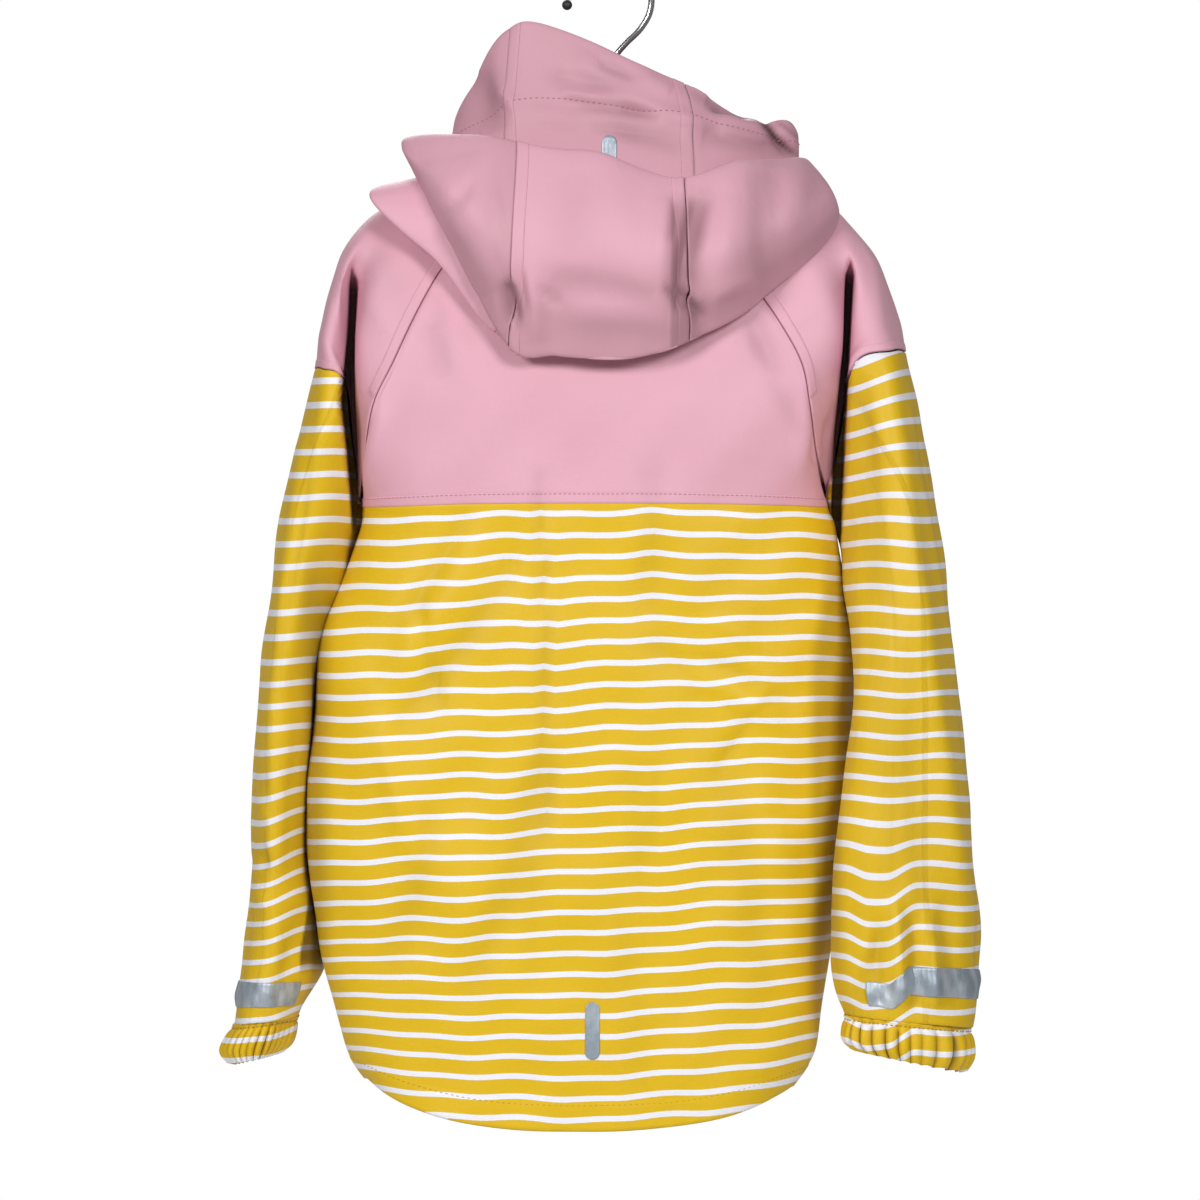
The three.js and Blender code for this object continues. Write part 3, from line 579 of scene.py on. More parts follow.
def maths(tree, operation, a, b=None, clamp=False):
    node = tree.nodes.new("ShaderNodeMath")
    node.operation = operation
    node.use_clamp = clamp
    for socket, value in zip(node.inputs, (a, b)):
        if value is None:
            continue
        if isinstance(value, (int, float)):
            socket.default_value = value
        else:
            tree.links.new(value, socket)
    return node.outputs[0]


# value * factor + start
def linear(tree, value, factor, start):
    return maths(tree, "ADD", maths(tree, "MULTIPLY", value, factor), start)


# a * shareA + b * shareB
def weighted(tree, a, shareA, b, shareB):
    return maths(tree, "ADD", maths(tree, "MULTIPLY", a, shareA), maths(tree, "MULTIPLY", b, shareB))


# Noise from 0 to 1 on the coordinates of a socket.
def noiseOn(tree, source, scale, detail=3, stretched=(1, 1, 1)):
    mapping = tree.nodes.new("ShaderNodeMapping")
    mapping.inputs["Scale"].default_value = stretched
    noise = tree.nodes.new("ShaderNodeTexNoise")
    noise.inputs["Scale"].default_value = scale
    noise.inputs["Detail"].default_value = detail
    tree.links.new(source, mapping.inputs["Vector"])
    tree.links.new(mapping.outputs[0], noise.inputs["Vector"])
    return noise.outputs["Fac"]


def objectNoise(tree, *look):
    return noiseOn(tree, tree.nodes.new("ShaderNodeTexCoord").outputs["Object"], *look)


# Coated cloth: a fine weave, a slow mottle and small crumples, all on the cloth's own millimetres.
weave = {"threadPitch": 0.9, "rib": 0.6, "thread": 0.3, "fleck": 1.2, "depth": 0.035, "wobble": 1.5,
         "slowFold": 1.0, "quickFold": 0.25, "foldDepth": 1.6}


def clothGrainGroup():
    group, source, result = nodeGroup(
        "clothGrain",
        [("Rib pitch", "NodeSocketFloat", 1.2), ("Rib depth", "NodeSocketFloat", 1.0),
         ("Crumple", "NodeSocketFloat", 1.0)],
        [("Height", "NodeSocketFloat"), ("Mottle", "NodeSocketFloat"), ("Fleck", "NodeSocketFloat")])
    uv = group.nodes.new("ShaderNodeUVMap")
    uv.uv_map = "cloth"
    split = group.nodes.new("ShaderNodeSeparateXYZ")
    group.links.new(uv.outputs[0], split.inputs[0])

    def noise(*look):
        return noiseOn(group, uv.outputs[0], *look)

    down = linear(group, noise(0.08, 2), weave["wobble"], split.outputs["Y"])
    rib = maths(group, "SINE", maths(group, "DIVIDE", maths(group, "MULTIPLY", down, fullTurn),
                                     source.outputs["Rib pitch"]))
    perThread = fullTurn / weave["threadPitch"]
    thread = maths(group, "SINE", maths(group, "MULTIPLY", split.outputs["X"], perThread))
    fleck = noise(0.9, 3, (0.6, 1.4, 1))
    woven = linear(group, fleck, weave["fleck"], weighted(group, rib, weave["rib"], thread, weave["thread"]))
    shallow = maths(group, "MULTIPLY", source.outputs["Rib depth"], weave["depth"])
    fine = maths(group, "MULTIPLY", woven, shallow)
    slowFolds = noise(0.022, 3, (1.6, 0.7, 1))
    folds = weighted(group, slowFolds, weave["slowFold"], noise(0.07), weave["quickFold"])
    deep = maths(group, "MULTIPLY", source.outputs["Crumple"], weave["foldDepth"])
    group.links.new(maths(group, "ADD", fine, maths(group, "MULTIPLY", folds, deep)), result.inputs["Height"])
    group.links.new(noise(0.012), result.inputs["Mottle"])
    group.links.new(fleck, result.inputs["Fleck"])
    return group


clothGrain = clothGrainGroup()


def newMaterial(name, **fixed):
    material = bpy.data.materials.new(name)
    material.use_nodes = True
    shader = material.node_tree.nodes["Principled BSDF"]
    for socket, value in fixed.items():
        shader.inputs[socket.replace("_", " ")].default_value = value
    return material, material.node_tree, shader


def mixColour(tree, factor, a, b):
    node = tree.nodes.new("ShaderNodeMix")
    node.data_type = "RGBA"
    sockets = [node.inputs[0], node.inputs[6], node.inputs[7]]
    for socket, value in zip(sockets, (factor, a, b)):
        if isinstance(value, (int, float)):
            socket.default_value = value
        elif isinstance(value, tuple):
            socket.default_value = (*value, 1)
        else:
            tree.links.new(value, socket)
    return node.outputs[2]


def grainNode(tree, **values):
    node = tree.nodes.new("ShaderNodeGroup")
    node.node_tree = clothGrain
    for socket, value in values.items():
        node.inputs[socket.replace("_", " ")].default_value = value
    return node


def addBump(tree, shader, height, distance):
    bump = tree.nodes.new("ShaderNodeBump")
    bump.inputs["Strength"].default_value = 1.0
    bump.inputs["Distance"].default_value = distance
    tree.links.new(height, bump.inputs["Height"])
    tree.links.new(bump.outputs[0], shader.inputs["Normal"])


# Painted shade: the colour is mixed towards a dark one as far as the point attribute of shade says.
def mixPaintedShade(tree, colour, dark):
    depth = tree.nodes.new("ShaderNodeAttribute")
    depth.attribute_name = "paintedShade"
    return mixColour(tree, depth.outputs["Fac"], colour, dark)


# What both cloths share: painted shade, flecks in the roughness and the grain as bump.
def finishCloth(tree, shader, grain, colour, height, look):
    tree.links.new(mixPaintedShade(tree, colour, look["paintedShade"]), shader.inputs["Base Color"])
    rough = linear(tree, grain.outputs["Fleck"], look["roughFleck"], look["roughness"])
    tree.links.new(rough, shader.inputs["Roughness"])
    addBump(tree, shader, height, mm)


# The pink's own light and deep tones, mottled at random, and the dark that painted shade mixes towards.
pinkLook = {"light": (0.775, 0.418, 0.512), "deep": (0.705, 0.355, 0.443), "mottle": 0.55, "fleck": 0.25,
            "paintedShade": (0.05, 0.012, 0.008), "roughness": 0.46, "roughFleck": 0.12}


def pinkClothMaterial():
    material, tree, shader = newMaterial("pinkCloth", Sheen_Weight=0.06, Sheen_Roughness=0.5,
                                         Specular_IOR_Level=0.4)
    look = pinkLook
    grain = grainNode(tree, Rib_pitch=0.9, Rib_depth=0.7, Crumple=0.55)
    mottle = weighted(tree, grain.outputs["Mottle"], look["mottle"], grain.outputs["Fleck"], look["fleck"])
    colour = mixColour(tree, mottle, look["light"], look["deep"])
    finishCloth(tree, shader, grain, colour, grain.outputs["Height"], look)
    return material


# The stripes' own colours, and the dark that painted shade mixes towards.
stripedLook = {"mustard": (0.77, 0.50, 0.006), "mustardDeep": (0.70, 0.43, 0.004),
               "white": (0.86, 0.86, 0.92), "whiteShare": 0.275, "edge": 0.024, "wobble": 0.03,
               "printHeight": 0.04, "mottle": 0.6, "fleck": 0.25, "paintedShade": (0.05, 0.02, 0.003),
               "roughness": 0.44, "roughFleck": 0.12}


# White where the stripe attribute's fraction lies within half the white share of the middle.
def stripedClothMaterial():
    look = stripedLook
    material, tree, shader = newMaterial("stripedCloth", Sheen_Weight=0.03, Sheen_Roughness=0.5,
                                         Specular_IOR_Level=0.34)
    grain = grainNode(tree, Rib_pitch=1.25, Rib_depth=1.0, Crumple=0.7)
    fleck = grain.outputs["Fleck"]
    stripe = tree.nodes.new("ShaderNodeAttribute")
    stripe.attribute_name = "stripe"
    wobble = maths(tree, "MULTIPLY", maths(tree, "SUBTRACT", fleck, 0.5), look["wobble"])
    place = maths(tree, "FRACT", maths(tree, "ADD", stripe.outputs["Fac"], wobble))
    off = maths(tree, "ABSOLUTE", maths(tree, "SUBTRACT", place, 0.5))
    inside = maths(tree, "SUBTRACT", (look["whiteShare"] + look["edge"]) / 2, off)
    white = maths(tree, "DIVIDE", inside, look["edge"], clamp=True)
    mottle = weighted(tree, grain.outputs["Mottle"], look["mottle"], fleck, look["fleck"])
    yellow = mixColour(tree, mottle, look["mustard"], look["mustardDeep"])
    colour = mixColour(tree, white, yellow, look["white"])
    height = linear(tree, white, look["printHeight"], grain.outputs["Height"])
    finishCloth(tree, shader, grain, colour, height, look)
    return material


pinkCloth = pinkClothMaterial()
stripedCloth = stripedClothMaterial()


# Thread darker than the cloth: its own tone, and painted shade of the stitch holes it dips into.
def threadMaterial(name, colour):
    material, tree, shader = newMaterial(name, Roughness=0.7)
    fine = objectNoise(tree, 900, 2)
    dark = tuple(0.72 * part for part in colour)
    tree.links.new(mixColour(tree, fine, colour, dark), shader.inputs["Base Color"])
    addBump(tree, shader, fine, 0.1 * mm)
    return material


pinkThread = threadMaterial("pinkThread", (0.50, 0.24, 0.30))
yellowThread = threadMaterial("yellowThread", (0.50, 0.28, 0.03))


filmLook = {"dark": (0.21, 0.26, 0.31), "bright": (0.46, 0.52, 0.58), "patch": (0.66, 0.71, 0.76),
            "patchShare": 0.75, "patchFrom": 0.47, "patchEdge": 5.0, "roughness": 0.36, "roughByPatch": 0.2,
            "beadHeight": 0.06}


# Grey film of fine glass beads: bright flecks, lighter patches of painted highlight and small crinkles.
def reflectiveFilmMaterial():
    look = filmLook
    material, tree, shader = newMaterial("reflectiveFilm", Metallic=0.55)
    beads = objectNoise(tree, 1500, 2)
    highlightPatchNoise = objectNoise(tree, 60, 4, (1, 1, 0.5))
    colour = mixColour(tree, beads, look["dark"], look["bright"])
    # Painted highlight: lighter patches where the broad noise is high.
    patches = maths(tree, "SUBTRACT", highlightPatchNoise, look["patchFrom"])
    patches = maths(tree, "MULTIPLY", patches, look["patchEdge"], clamp=True)
    colour = mixColour(tree, maths(tree, "MULTIPLY", patches, look["patchShare"]), colour, look["patch"])
    tree.links.new(colour, shader.inputs["Base Color"])
    tree.links.new(linear(tree, highlightPatchNoise, look["roughByPatch"], look["roughness"]), shader.inputs["Roughness"])
    crinkle = linear(tree, beads, look["beadHeight"], objectNoise(tree, 95, 3, (1, 1, 0.35)))
    addBump(tree, shader, crinkle, 1.6 * mm)
    return material


def smoothPlastic(name, colour, darker, roughness, scale=300):
    material, tree, shader = newMaterial(name)
    fine = objectNoise(tree, scale, 3)
    tree.links.new(mixColour(tree, fine, colour, darker), shader.inputs["Base Color"])
    tree.links.new(linear(tree, fine, 0.14, roughness), shader.inputs["Roughness"])
    addBump(tree, shader, fine, 0.08 * mm)
    return material


# Bright plated wire with faint drawing marks.
def chromeWireMaterial():
    material, tree, shader = newMaterial("chromeWire", Metallic=1.0)
    marks = objectNoise(tree, 220, 2, (1, 1, 0.15))
    colour = mixColour(tree, marks, (0.62, 0.63, 0.65), (0.44, 0.45, 0.47))
    tree.links.new(colour, shader.inputs["Base Color"])
    tree.links.new(linear(tree, marks, 0.1, 0.1), shader.inputs["Roughness"])
    addBump(tree, shader, marks, 0.03 * mm)
    return material


reflectiveFilm = reflectiveFilmMaterial()
studPlastic = smoothPlastic("studPlastic", (0.78, 0.42, 0.52), (0.70, 0.35, 0.45), 0.28)
hangerPlastic = smoothPlastic("hangerPlastic", (0.80, 0.79, 0.76), (0.72, 0.71, 0.67), 0.25, 120)
blackCap = smoothPlastic("blackCap", (0.012, 0.012, 0.013), (0.03, 0.03, 0.03), 0.45)
chromeWire = chromeWireMaterial()
print("materials ready")


# Torso

torso = {
    "yokeRow": 7, "fullness": 0.8, "rowGap": 0.006, "edgeGap": 0.15, "middleX": 6, "thickness": 1.1,
    "foldHeight": 2.3, "swell": 1.5, "columns": 150, "yokeRows": 70, "lowerRows": 136, "closeness": 0.6,
    "frontColumns": 66, "frontYokeRows": 50, "frontLowerRows": 110, "frontCloseness": 0.3,
    "frontGap": 0.00006,
}
yokeFoot, lowerTop = torso["yokeRow"] - torso["rowGap"], torso["yokeRow"] + torso["rowGap"]
hemRow = len(torsoRows) - 1


# Point at share u across and row v. The plan of a row is a superellipse from edge to edge:
# x runs as 1 - cos^0.8, y rises as sin^0.8 to the crest, and z dips as sin^2 to the middle.
def torsoPoint(u, v, front):
    (leftX, leftY, leftZ, rightX, rightY, rightZ,
     backY, backZ, frontY, frontZ) = np.moveaxis(between(torsoRows, v), -1, 0)
    angle = np.pi * u
    along = (1 - soft(np.cos(angle), torso["fullness"])) / 2
    edgeY = mix(leftY, rightY, along)
    turn = mix(-1, 1, np.minimum(np.maximum(v, 0) / torso["yokeRow"], 1) ** 6)
    edge = edgeY * turn - torso["edgeGap"] if front else edgeY + torso["edgeGap"]
    rise = np.abs(np.sin(angle)) ** torso["fullness"]
    dip = np.sin(angle) ** 2
    return np.stack([mix(leftX, rightX, along),
                     mix(edge, frontY if front else backY, rise),
                     mix(mix(leftZ, rightZ, along), frontZ if front else backZ, dip)], -1)


def torsoCloth(front, fromU, toU, fromRow, toRow, columns, rows, closeness):
    u, v = np.meshgrid(mix(fromU, toU, shares(columns, closeness)), mix(fromRow, toRow, shares(rows)))
    if not front:
        u = u[:, ::-1]
    return Cloth(torsoPoint(u, v, front))


# columns: start x and z, end x and z, height, width, bow
backFolds = [
    [44, -322, 40, -546, -2.0, 4.2, 1.5],
    [31, -330, 33, -500, 0.8, 6, 0], [-28, -500, -22, -560, -0.9, 4, 1], [-88, -470, -70, -500, -1.0, 4, 1],
    [-98, -452, -84, -468, 0.9, 3.5, 0], [118, -400, 104, -470, -1.3, 5, -2],
    [140, -470, 120, -560, 1.1, 7, -3], [51, -330, 49, -470, 0.9, 7, 1],
    [40, -480, 48, -640, -0.7, 8, -3],
    [-26, -318, -24, -415, -1.1, 8, 1],
    [-12, -330, -10, -430, 0.8, 9, 0],
    [58, -372, 136, -478, -1.5, 9, 5],
    [76, -360, 150, -462, 1.3, 10, 5],
    [90, -345, 138, -420, -1.2, 7, 4],
    [44, -499, 94, -652, -1.3, 11, 5],
    [66, -505, 116, -650, 1.2, 12, 5],
    [112, -530, 142, -628, -1.2, 10, 4],
    [-52, -432, -112, -463, -1.1, 4, 2],
    [-46, -446, -104, -476, 1.0, 5, 2],
    [-60, -412, -118, -440, 0.8, 6, 2],
    [-22, -424, -58, -458, -0.9, 7, 3],
    [-66, -452, -80, -474, -0.8, 3, 1],
    [-14, -506, -19, -588, -0.8, 6, 1],
    [-6, -586, -19, -712, -0.7, 9, 2],
    [-70, -500, -96, -640, -0.9, 12, 6],
    [-92, -520, -118, -660, 0.9, 13, 6],
    [20, -560, 26, -690, 0.7, 14, -4],
    [-131, -268, -127, -312, -2.4, 4, 2],
    [-122, -262, -118, -318, 1.2, 6, 2],
    [128, -214, 151, -262, -1.2, 5, -3],
    [112, -228, 103, -262, -1.3, 8, 0],
    [-87, -222, -104, -256, -1.4, 8, 0],
    [138, -280, 150, -330, 1.0, 6, -2],
]

backShares = shares(torso["columns"], torso["closeness"])
backYoke, backLower = [
    torsoCloth(False, 0, 1, fromRow, toRow, torso["columns"], rows, torso["closeness"])
    for fromRow, toRow, rows in ((0, yokeFoot, torso["yokeRows"]), (lowerTop, hemRow, torso["lowerRows"]))]


# Creases and swells, which fade where inPlay does, with painted shade in the troughs.
def foldTorso(cloth, table, inPlay):
    folds = torso["foldHeight"] * creases(cloth.points, table) * inPlay
    cloth.shade = troughShade(folds)
    cloth.push(folds + swell(cloth.points, torso["swell"]) * inPlay)


for cloth in (backYoke, backLower):
    foldTorso(cloth, backFolds, ease(np.minimum(backShares, 1 - backShares), 0, 0.05))

# Painted shadow on the pink back: under the hood, beside the raglan seams and on the shoulders.
# columns: start x and z, end x and z, shade, width
paintedShadowPlaces = [
    [-12, -247, -60, -240, 0.13, 5], [108, -208, 98, -262, 0.09, 6], [88, -214, 84, -240, 0.07, 7],
    [-98, -262, -120, -296, 0.10, 6], [-76, -226, -104, -262, 0.07, 7], [160, -172, 132, -212, 0.10, 13],
    [-130, -172, -150, -208, 0.10, 12], [118, -262, 132, -300, 0.05, 8], [150, -214, 146, -236, 0.09, 6],
]
# Painted shade along the yoke's side seams, where they meet the sleeve heads.
seamShade = 0.75


# Painted shadow, only where the cloth faces back.
def paintedShadow(cloth):
    return creases(cloth.points, paintedShadowPlaces) * ease(cloth.normals[..., 1], 0, 0.4)


backYoke.shade = backYoke.shade + paintedShadow(backYoke)
backYoke.shade[:, [0, -1]] = seamShade


# Printed stripes: the distance down from the yoke seam in stripes, with the slow waves they hang in.
stripes = {"period": 12.94, "firstZ": -345.3, "count": 28, "halfWidth": 137, "follow": 0.55}
# columns: share down the body, lift in the middle, tilt and bow, in millimetres
stripeWaves = [[0.0, -0.5, 1.2, 3.8], [0.36, 4.2, 6.2, 0.0], [0.71, 0.4, 7.6, -0.6], [1.0, 0.0, 3.8, -9.5]]


def bodyStripes(points):
    x, z = points[..., 0], points[..., 2]
    down = np.clip((stripes["firstZ"] - z) / (stripes["count"] * stripes["period"]), 0, 1)
    table = np.array(stripeWaves)
    lift, tilt, bow = [np.interp(down, table[:, 0], table[:, k]) for k in (1, 2, 3)]
    across = np.clip((x - torso["middleX"]) / stripes["halfWidth"], -1.3, 1.3)
    wave = lift + tilt * across + bow * across ** 2 + stripes["follow"] * creases(points, backFolds)
    wave += 0.7 * np.sin(x / 15 + z / 60) + 0.5 * np.sin(x / 7.3 - z / 45)
    return (stripes["firstZ"] - z - wave) / stripes["period"] + 0.5


hem = {"depth": 15.5, "fold": 1.5, "double": 1.9,
       "cornerTurn": 6.0, "cornerLength": 0.09, "cornerWidth": 0.35}


# The hem is folded up once, so it is thicker below its stitched line.
def hemThickness(cloth):
    down = cloth.lengths()[1]
    line = down[-1:] - hem["depth"]
    return mix(torso["thickness"], hem["double"], ease(down, line - hem["fold"], line))


# Painted shade on the body at its edges, where the sleeves hang against it; the right edge comes in lower
# down.
# columns: side, distance out and down where it starts and is full, down where it ends and is gone, shade
sideShades = [[-1, 128, 138, 345, 400, 590, 640, 0.34], [1, 168, 184, 350, 400, 600, 660, 0.36]]


def bodyShade(points):
    x, down = points[..., 0], -points[..., 2]
    total = np.zeros(x.shape)
    for side, start, full, *heights, shade in sideShades:
        comesIn = 8 * ease(down, 380, 450) if side < 0 else 0
        total += shade * ease(side * x + comesIn, start, full) * window(down, *heights)
    return total


# The side edges round off into the hem: over the last stretch they turn in by the square of the way.
def roundCorners(cloth, columnShares, atLeft, atRight):
    points = cloth.points.copy()
    fromFoot = 1 - np.linspace(0, 1, len(points))
    way = np.clip(1 - fromFoot / hem["cornerLength"], 0, 1)[:, None] ** 2
    side = np.sign(points[..., 0] - torso["middleX"])
    fromSide = np.minimum(columnShares + (not atLeft), 1 - columnShares + (not atRight))
    points[..., 0] -= side * hem["cornerTurn"] * way * (1 - ease(fromSide, 0, hem["cornerWidth"]))
    cloth.place(points)


def yokePiece(node, cloth):
    clothPiece(node, cloth, torso["thickness"], pinkCloth)


def lowerPiece(node, cloth):
    clothPiece(node, cloth, hemThickness(cloth), stripedCloth, bodyStripes(cloth.points))


roundCorners(backLower, backShares, True, True)
backLower.shade = np.maximum(backLower.shade, bodyShade(backLower.points))
yokePiece("back_yoke", backYoke)
lowerPiece("back_lower", backLower)

frontFolds = [
    [60, -230, 84, -330, 1.4, 12, 3], [90, -250, 112, -340, -1.6, 10, 4], [-60, -240, -80, -335, 1.3, 12, -3],
    [-86, -250, -104, -335, -1.5, 10, -4], [70, -360, 120, -520, -1.5, 12, 6],
    [96, -370, 150, -540, 1.3, 13, 6], [-60, -370, -104, -520, -1.4, 12, -6],
    [-84, -380, -124, -560, 1.2, 13, -6], [50, -500, 70, -680, 1.1, 14, 4],
    [-44, -520, -60, -690, -1.1, 12, -3], [120, -540, 140, -670, -1.2, 11, 4],
]
u = shares(torso["frontColumns"], torso["frontCloseness"])
for name, fromU, toU in (("left", 0, 0.5 - torso["frontGap"]), ("right", 0.5 + torso["frontGap"], 1)):
    atLeft = name == "left"
    for part, fromRow, toRow, rows in (("yoke", 0, yokeFoot, torso["frontYokeRows"]),
                                       ("lower", lowerTop, hemRow, torso["frontLowerRows"])):
        cloth = torsoCloth(True, fromU, toU, fromRow, toRow, torso["frontColumns"], rows,
                           torso["frontCloseness"])
        fromMiddle = np.abs(cloth.points[..., 0] - torso["middleX"])
        foldTorso(cloth, frontFolds, ease(u if atLeft else 1 - u, 0, 0.1) * ease(fromMiddle, 18, 40))
        if part == "yoke":
            yokePiece(f"front_{name}_yoke", cloth)
        else:
            roundCorners(cloth, u, atLeft, not atLeft)
            lowerPiece(f"front_{name}_lower", cloth)
print("torso ready")

# Sleeves

sleeve = {
    "headRows": 7, "stripeDrop": 6, "ringFullness": 0.9, "columns": 150, "headGrid": 66, "lowerGrid": 126,
    "colourSeam": 0.048, "thickness": 1.1, "foldHeight": 1.5, "swell": 1.0, "underarmBulge": 4.5,
    "besideBody": 4.5, "frontDrop": 12.0, "rightSideY": 40,
}
# What differs between the sleeves, by side: painted shade on the head, on the lower part and on what lies
# beside the body, with the distances out between which that fades; how far down the bulge beside the body
# goes and how much it grows there; and the stripes' lift, drop near the top, tilt and step.
sleeveLooks = {
    1: {"head": 0.04, "lower": 0.0, "inner": 0.5, "innerEdge": (184, 200), "besideFoot": (625, 656),
        "besideMore": 0.8, "lift": 4, "drop": 2.5, "tilt": 10, "step": 0},
    -1: {"head": 0.0, "lower": 0.04, "inner": 0.35, "innerEdge": (142, 152), "besideFoot": (590, 636),
         "besideMore": 0, "lift": 0, "drop": 7.0, "tilt": 0, "step": 9.0},
}
ringRows = len(leftRings) - 1
tightShares = np.array([0, 0.03, 0.08, 0.36, 0.68, 1])
evenShares = np.array([0, 0.2, 0.4, 0.6, 0.8, 1])


# Half of a ring by its six named points: x, middle y, half depth and z. share 0 is the underarm
# line and 1 the outer line; across = cos^0.9, depth = sin^0.9, z drops towards the underarm.
def ringHalf(row, v):
    innerX, outerX, middleY, halfDepth, lean, innerZ, outerZ, spread = row
    share = mix(tightShares, evenShares, spread)
    dropPower = mix(sleeve["stripeDrop"], 1, min((v - sleeve["headRows"]) / ringRows, 1))
    angle = np.pi * (1 - share)
    across = soft(np.cos(angle), sleeve["ringFullness"])
    drop = ((1 - np.cos(angle)) / 2) ** dropPower
    return np.stack([mix(innerX, outerX, (1 + across) / 2), middleY + lean * across,
                     halfDepth * soft(np.sin(angle), sleeve["ringFullness"]),
                     mix(outerZ, innerZ, drop)], -1)


def sleeveRow(side, v):
    if v >= sleeve["headRows"]:
        return ringHalf(between(leftRings if side > 0 else rightRings, v - sleeve["headRows"]), v)
    seam = between(torsoRows, v)
    seam = seam[:3] if side > 0 else seam[3:6] * np.array([-1, 1, 1])
    row = between(leftHead if side > 0 else rightHead, v).reshape(5, 3)
    first = [[seam[0] + 1.5, 0, seam[1], seam[2]]]
    rest = np.stack([row[:, 0], 0 * row[:, 0], row[:, 1], row[:, 2]], -1)
    return np.concatenate([first, rest])


# Rows between the head's last table row and the colour seam are eased into the ring.
def sleeveNamed(side, v):
    last = sleeve["headRows"] - 1
    if v <= last or v >= last + 1:
        return sleeveRow(side, v)
    four = np.stack([sleeveRow(side, k) for k in (last - 1, last, last + 1, last + 2)])
    return between(four.reshape(4, -1), 1 + v - last).reshape(6, 4)


# The whole sleeve: u goes once round from the back seam over the outer line to the front seam.
def sleevePoints(side, u, v):
    named = np.stack([sleeveNamed(side, k) for k in v])
    closed = np.clip(v - sleeve["headRows"] + 1, 0, 1)[:, None]
    inner, after = named[:, 0], named[:, 1]
    beyond = np.stack([mix(2 * inner[:, 0] - after[:, 0], after[:, 0], closed[:, 0]), after[:, 1],
                       mix(2 * inner[:, 2] - after[:, 2], -after[:, 2], closed[:, 0]),
                       mix(2 * inner[:, 3] - after[:, 3], after[:, 3], closed[:, 0])], -1)
    over = named[:, 4] * np.array([1, 1, -1, 1])
    stack = np.concatenate([beyond[:, None], named, over[:, None]], 1)
    half = 1 - np.abs(1 - 2 * u)
    found = betweenStack(stack, 1 + 5 * half)
    sign = np.where(u <= 0.5, 1, -1)[None]
    return np.stack([side * found[..., 0], found[..., 1] + sign * found[..., 2], found[..., 3]], -1)


# The armhole folds are steep slots between the body and the hanging sleeve.
# columns: height, how far out the slot begins at the body and ends at the sleeve
leftSlot = [[-188, 161.5, 161.5], [-203, 156.8, 163.2], [-234, 158.4, 164], [-255, 158.6, 166.4],
            [-276, 158.2, 168.6], [-304, 157, 165], [-331, 156.6, 162.8], [-368, 158, 161]]
rightSlot = [[-184, 150, 150], [-197, 146, 152.6], [-242, 144.6, 149.4], [-270, 142, 148.4],
             [-293, 139.6, 147.4], [-314, 138.6, 146.6], [-341, 137.4, 145.6], [-376, 141, 144.6]]
armSlot = {"floor": 3.5, "inRim": 0.7, "outRim": 0.9}


# Points of the back half inside the slot sink to its floor, and the cloth under and below the arm bulges
# towards the body. Returns how deep each point lies in the slot, from 0 to 1.
def openSlot(side, cloth):
    points = cloth.points.copy()
    x, y, down = side * points[..., 0], points[..., 1], -points[..., 2]
    table = np.array(leftSlot if side > 0 else rightSlot)
    top = -table[0, 0]
    bodyEdge, sleeveEdge = [np.interp(down, -table[:, 0], table[:, k]) for k in (1, 2)]
    across = window(x, bodyEdge - armSlot["inRim"], bodyEdge + armSlot["outRim"],
                    sleeveEdge - armSlot["outRim"], sleeveEdge + armSlot["inRim"])
    inside = across * window(down, top, top + 22, 350, 374) * (y > armSlot["floor"])
    points[..., 1] = mix(y, np.minimum(y, armSlot["floor"]), inside)
    under = (1 - ease(x, sleeveEdge + 1, sleeveEdge + 9)) * window(down, 300, 330, 368, 400)
    points[..., 0] -= side * sleeve["underarmBulge"] * under * window(-y, -2, 12, 22, 40)
    look = sleeveLooks[side]
    rings = np.array(leftRings if side > 0 else rightRings)
    innerX = np.interp(down, -rings[:, 5], rings[:, 0])
    beside = (1 - ease(x, innerX + 2, innerX + 16)) * window(down, 350, 400, *look["besideFoot"])
    beside = beside * (1 + look["besideMore"] * ease(down, 570, 620))
    points[..., 0] -= side * sleeve["besideBody"] * beside
    cloth.place(points)
    return inside


# columns: start x and z, end x and z, height, width, bow
leftSleeveFolds = [
    [196, -300, 210, -420, 1.6, 7, 2], [186, -268, 198, -400, -1.4, 6, 2], [204, -420, 212, -560, 1.3, 8, 1],
    [214, -470, 219, -600, -1.0, 5, 1], [226, -520, 214, -536, 2.0, 5, 1],
    [226, -548, 212, -566, -2.4, 4.5, 1], [226, -578, 213, -590, 2.0, 5, 1],
    [198, -440, 203, -600, -1.3, 6, 0], [206, -580, 216, -640, 1.5, 7, 1],
    [196, -590, 206, -645, -1.3, 6, 1], [214, -610, 222, -650, -1.0, 5, 0],
]
rightSleeveFolds = [
    [-160, -262, -176, -420, -1.8, 7, -3], [-172, -250, -196, -430, 2.0, 8, -2],
    [-196, -430, -220, -600, 1.8, 8, -1], [-166, -420, -176, -560, -1.3, 9, 0],
    [-184, -470, -200, -610, -1.5, 8, -2], [-158, -520, -160, -620, 1.2, 9, 2],
    [-176, -586, -180, -650, 3.4, 4.5, 0], [-197, -592, -199, -650, 3.2, 5, 0],
    [-187, -596, -189, -652, -3.2, 5, 0], [-208, -586, -212, -648, -2.0, 6, 0],
    [-164, -596, -166, -650, -2.4, 5, 0], [-169, -256, -218, -580, 1.8, 7, 0],
    [-154, -262, -162, -400, -1.8, 7, -1], [-170, -600, -152, -648, -1.6, 5, 0],
]

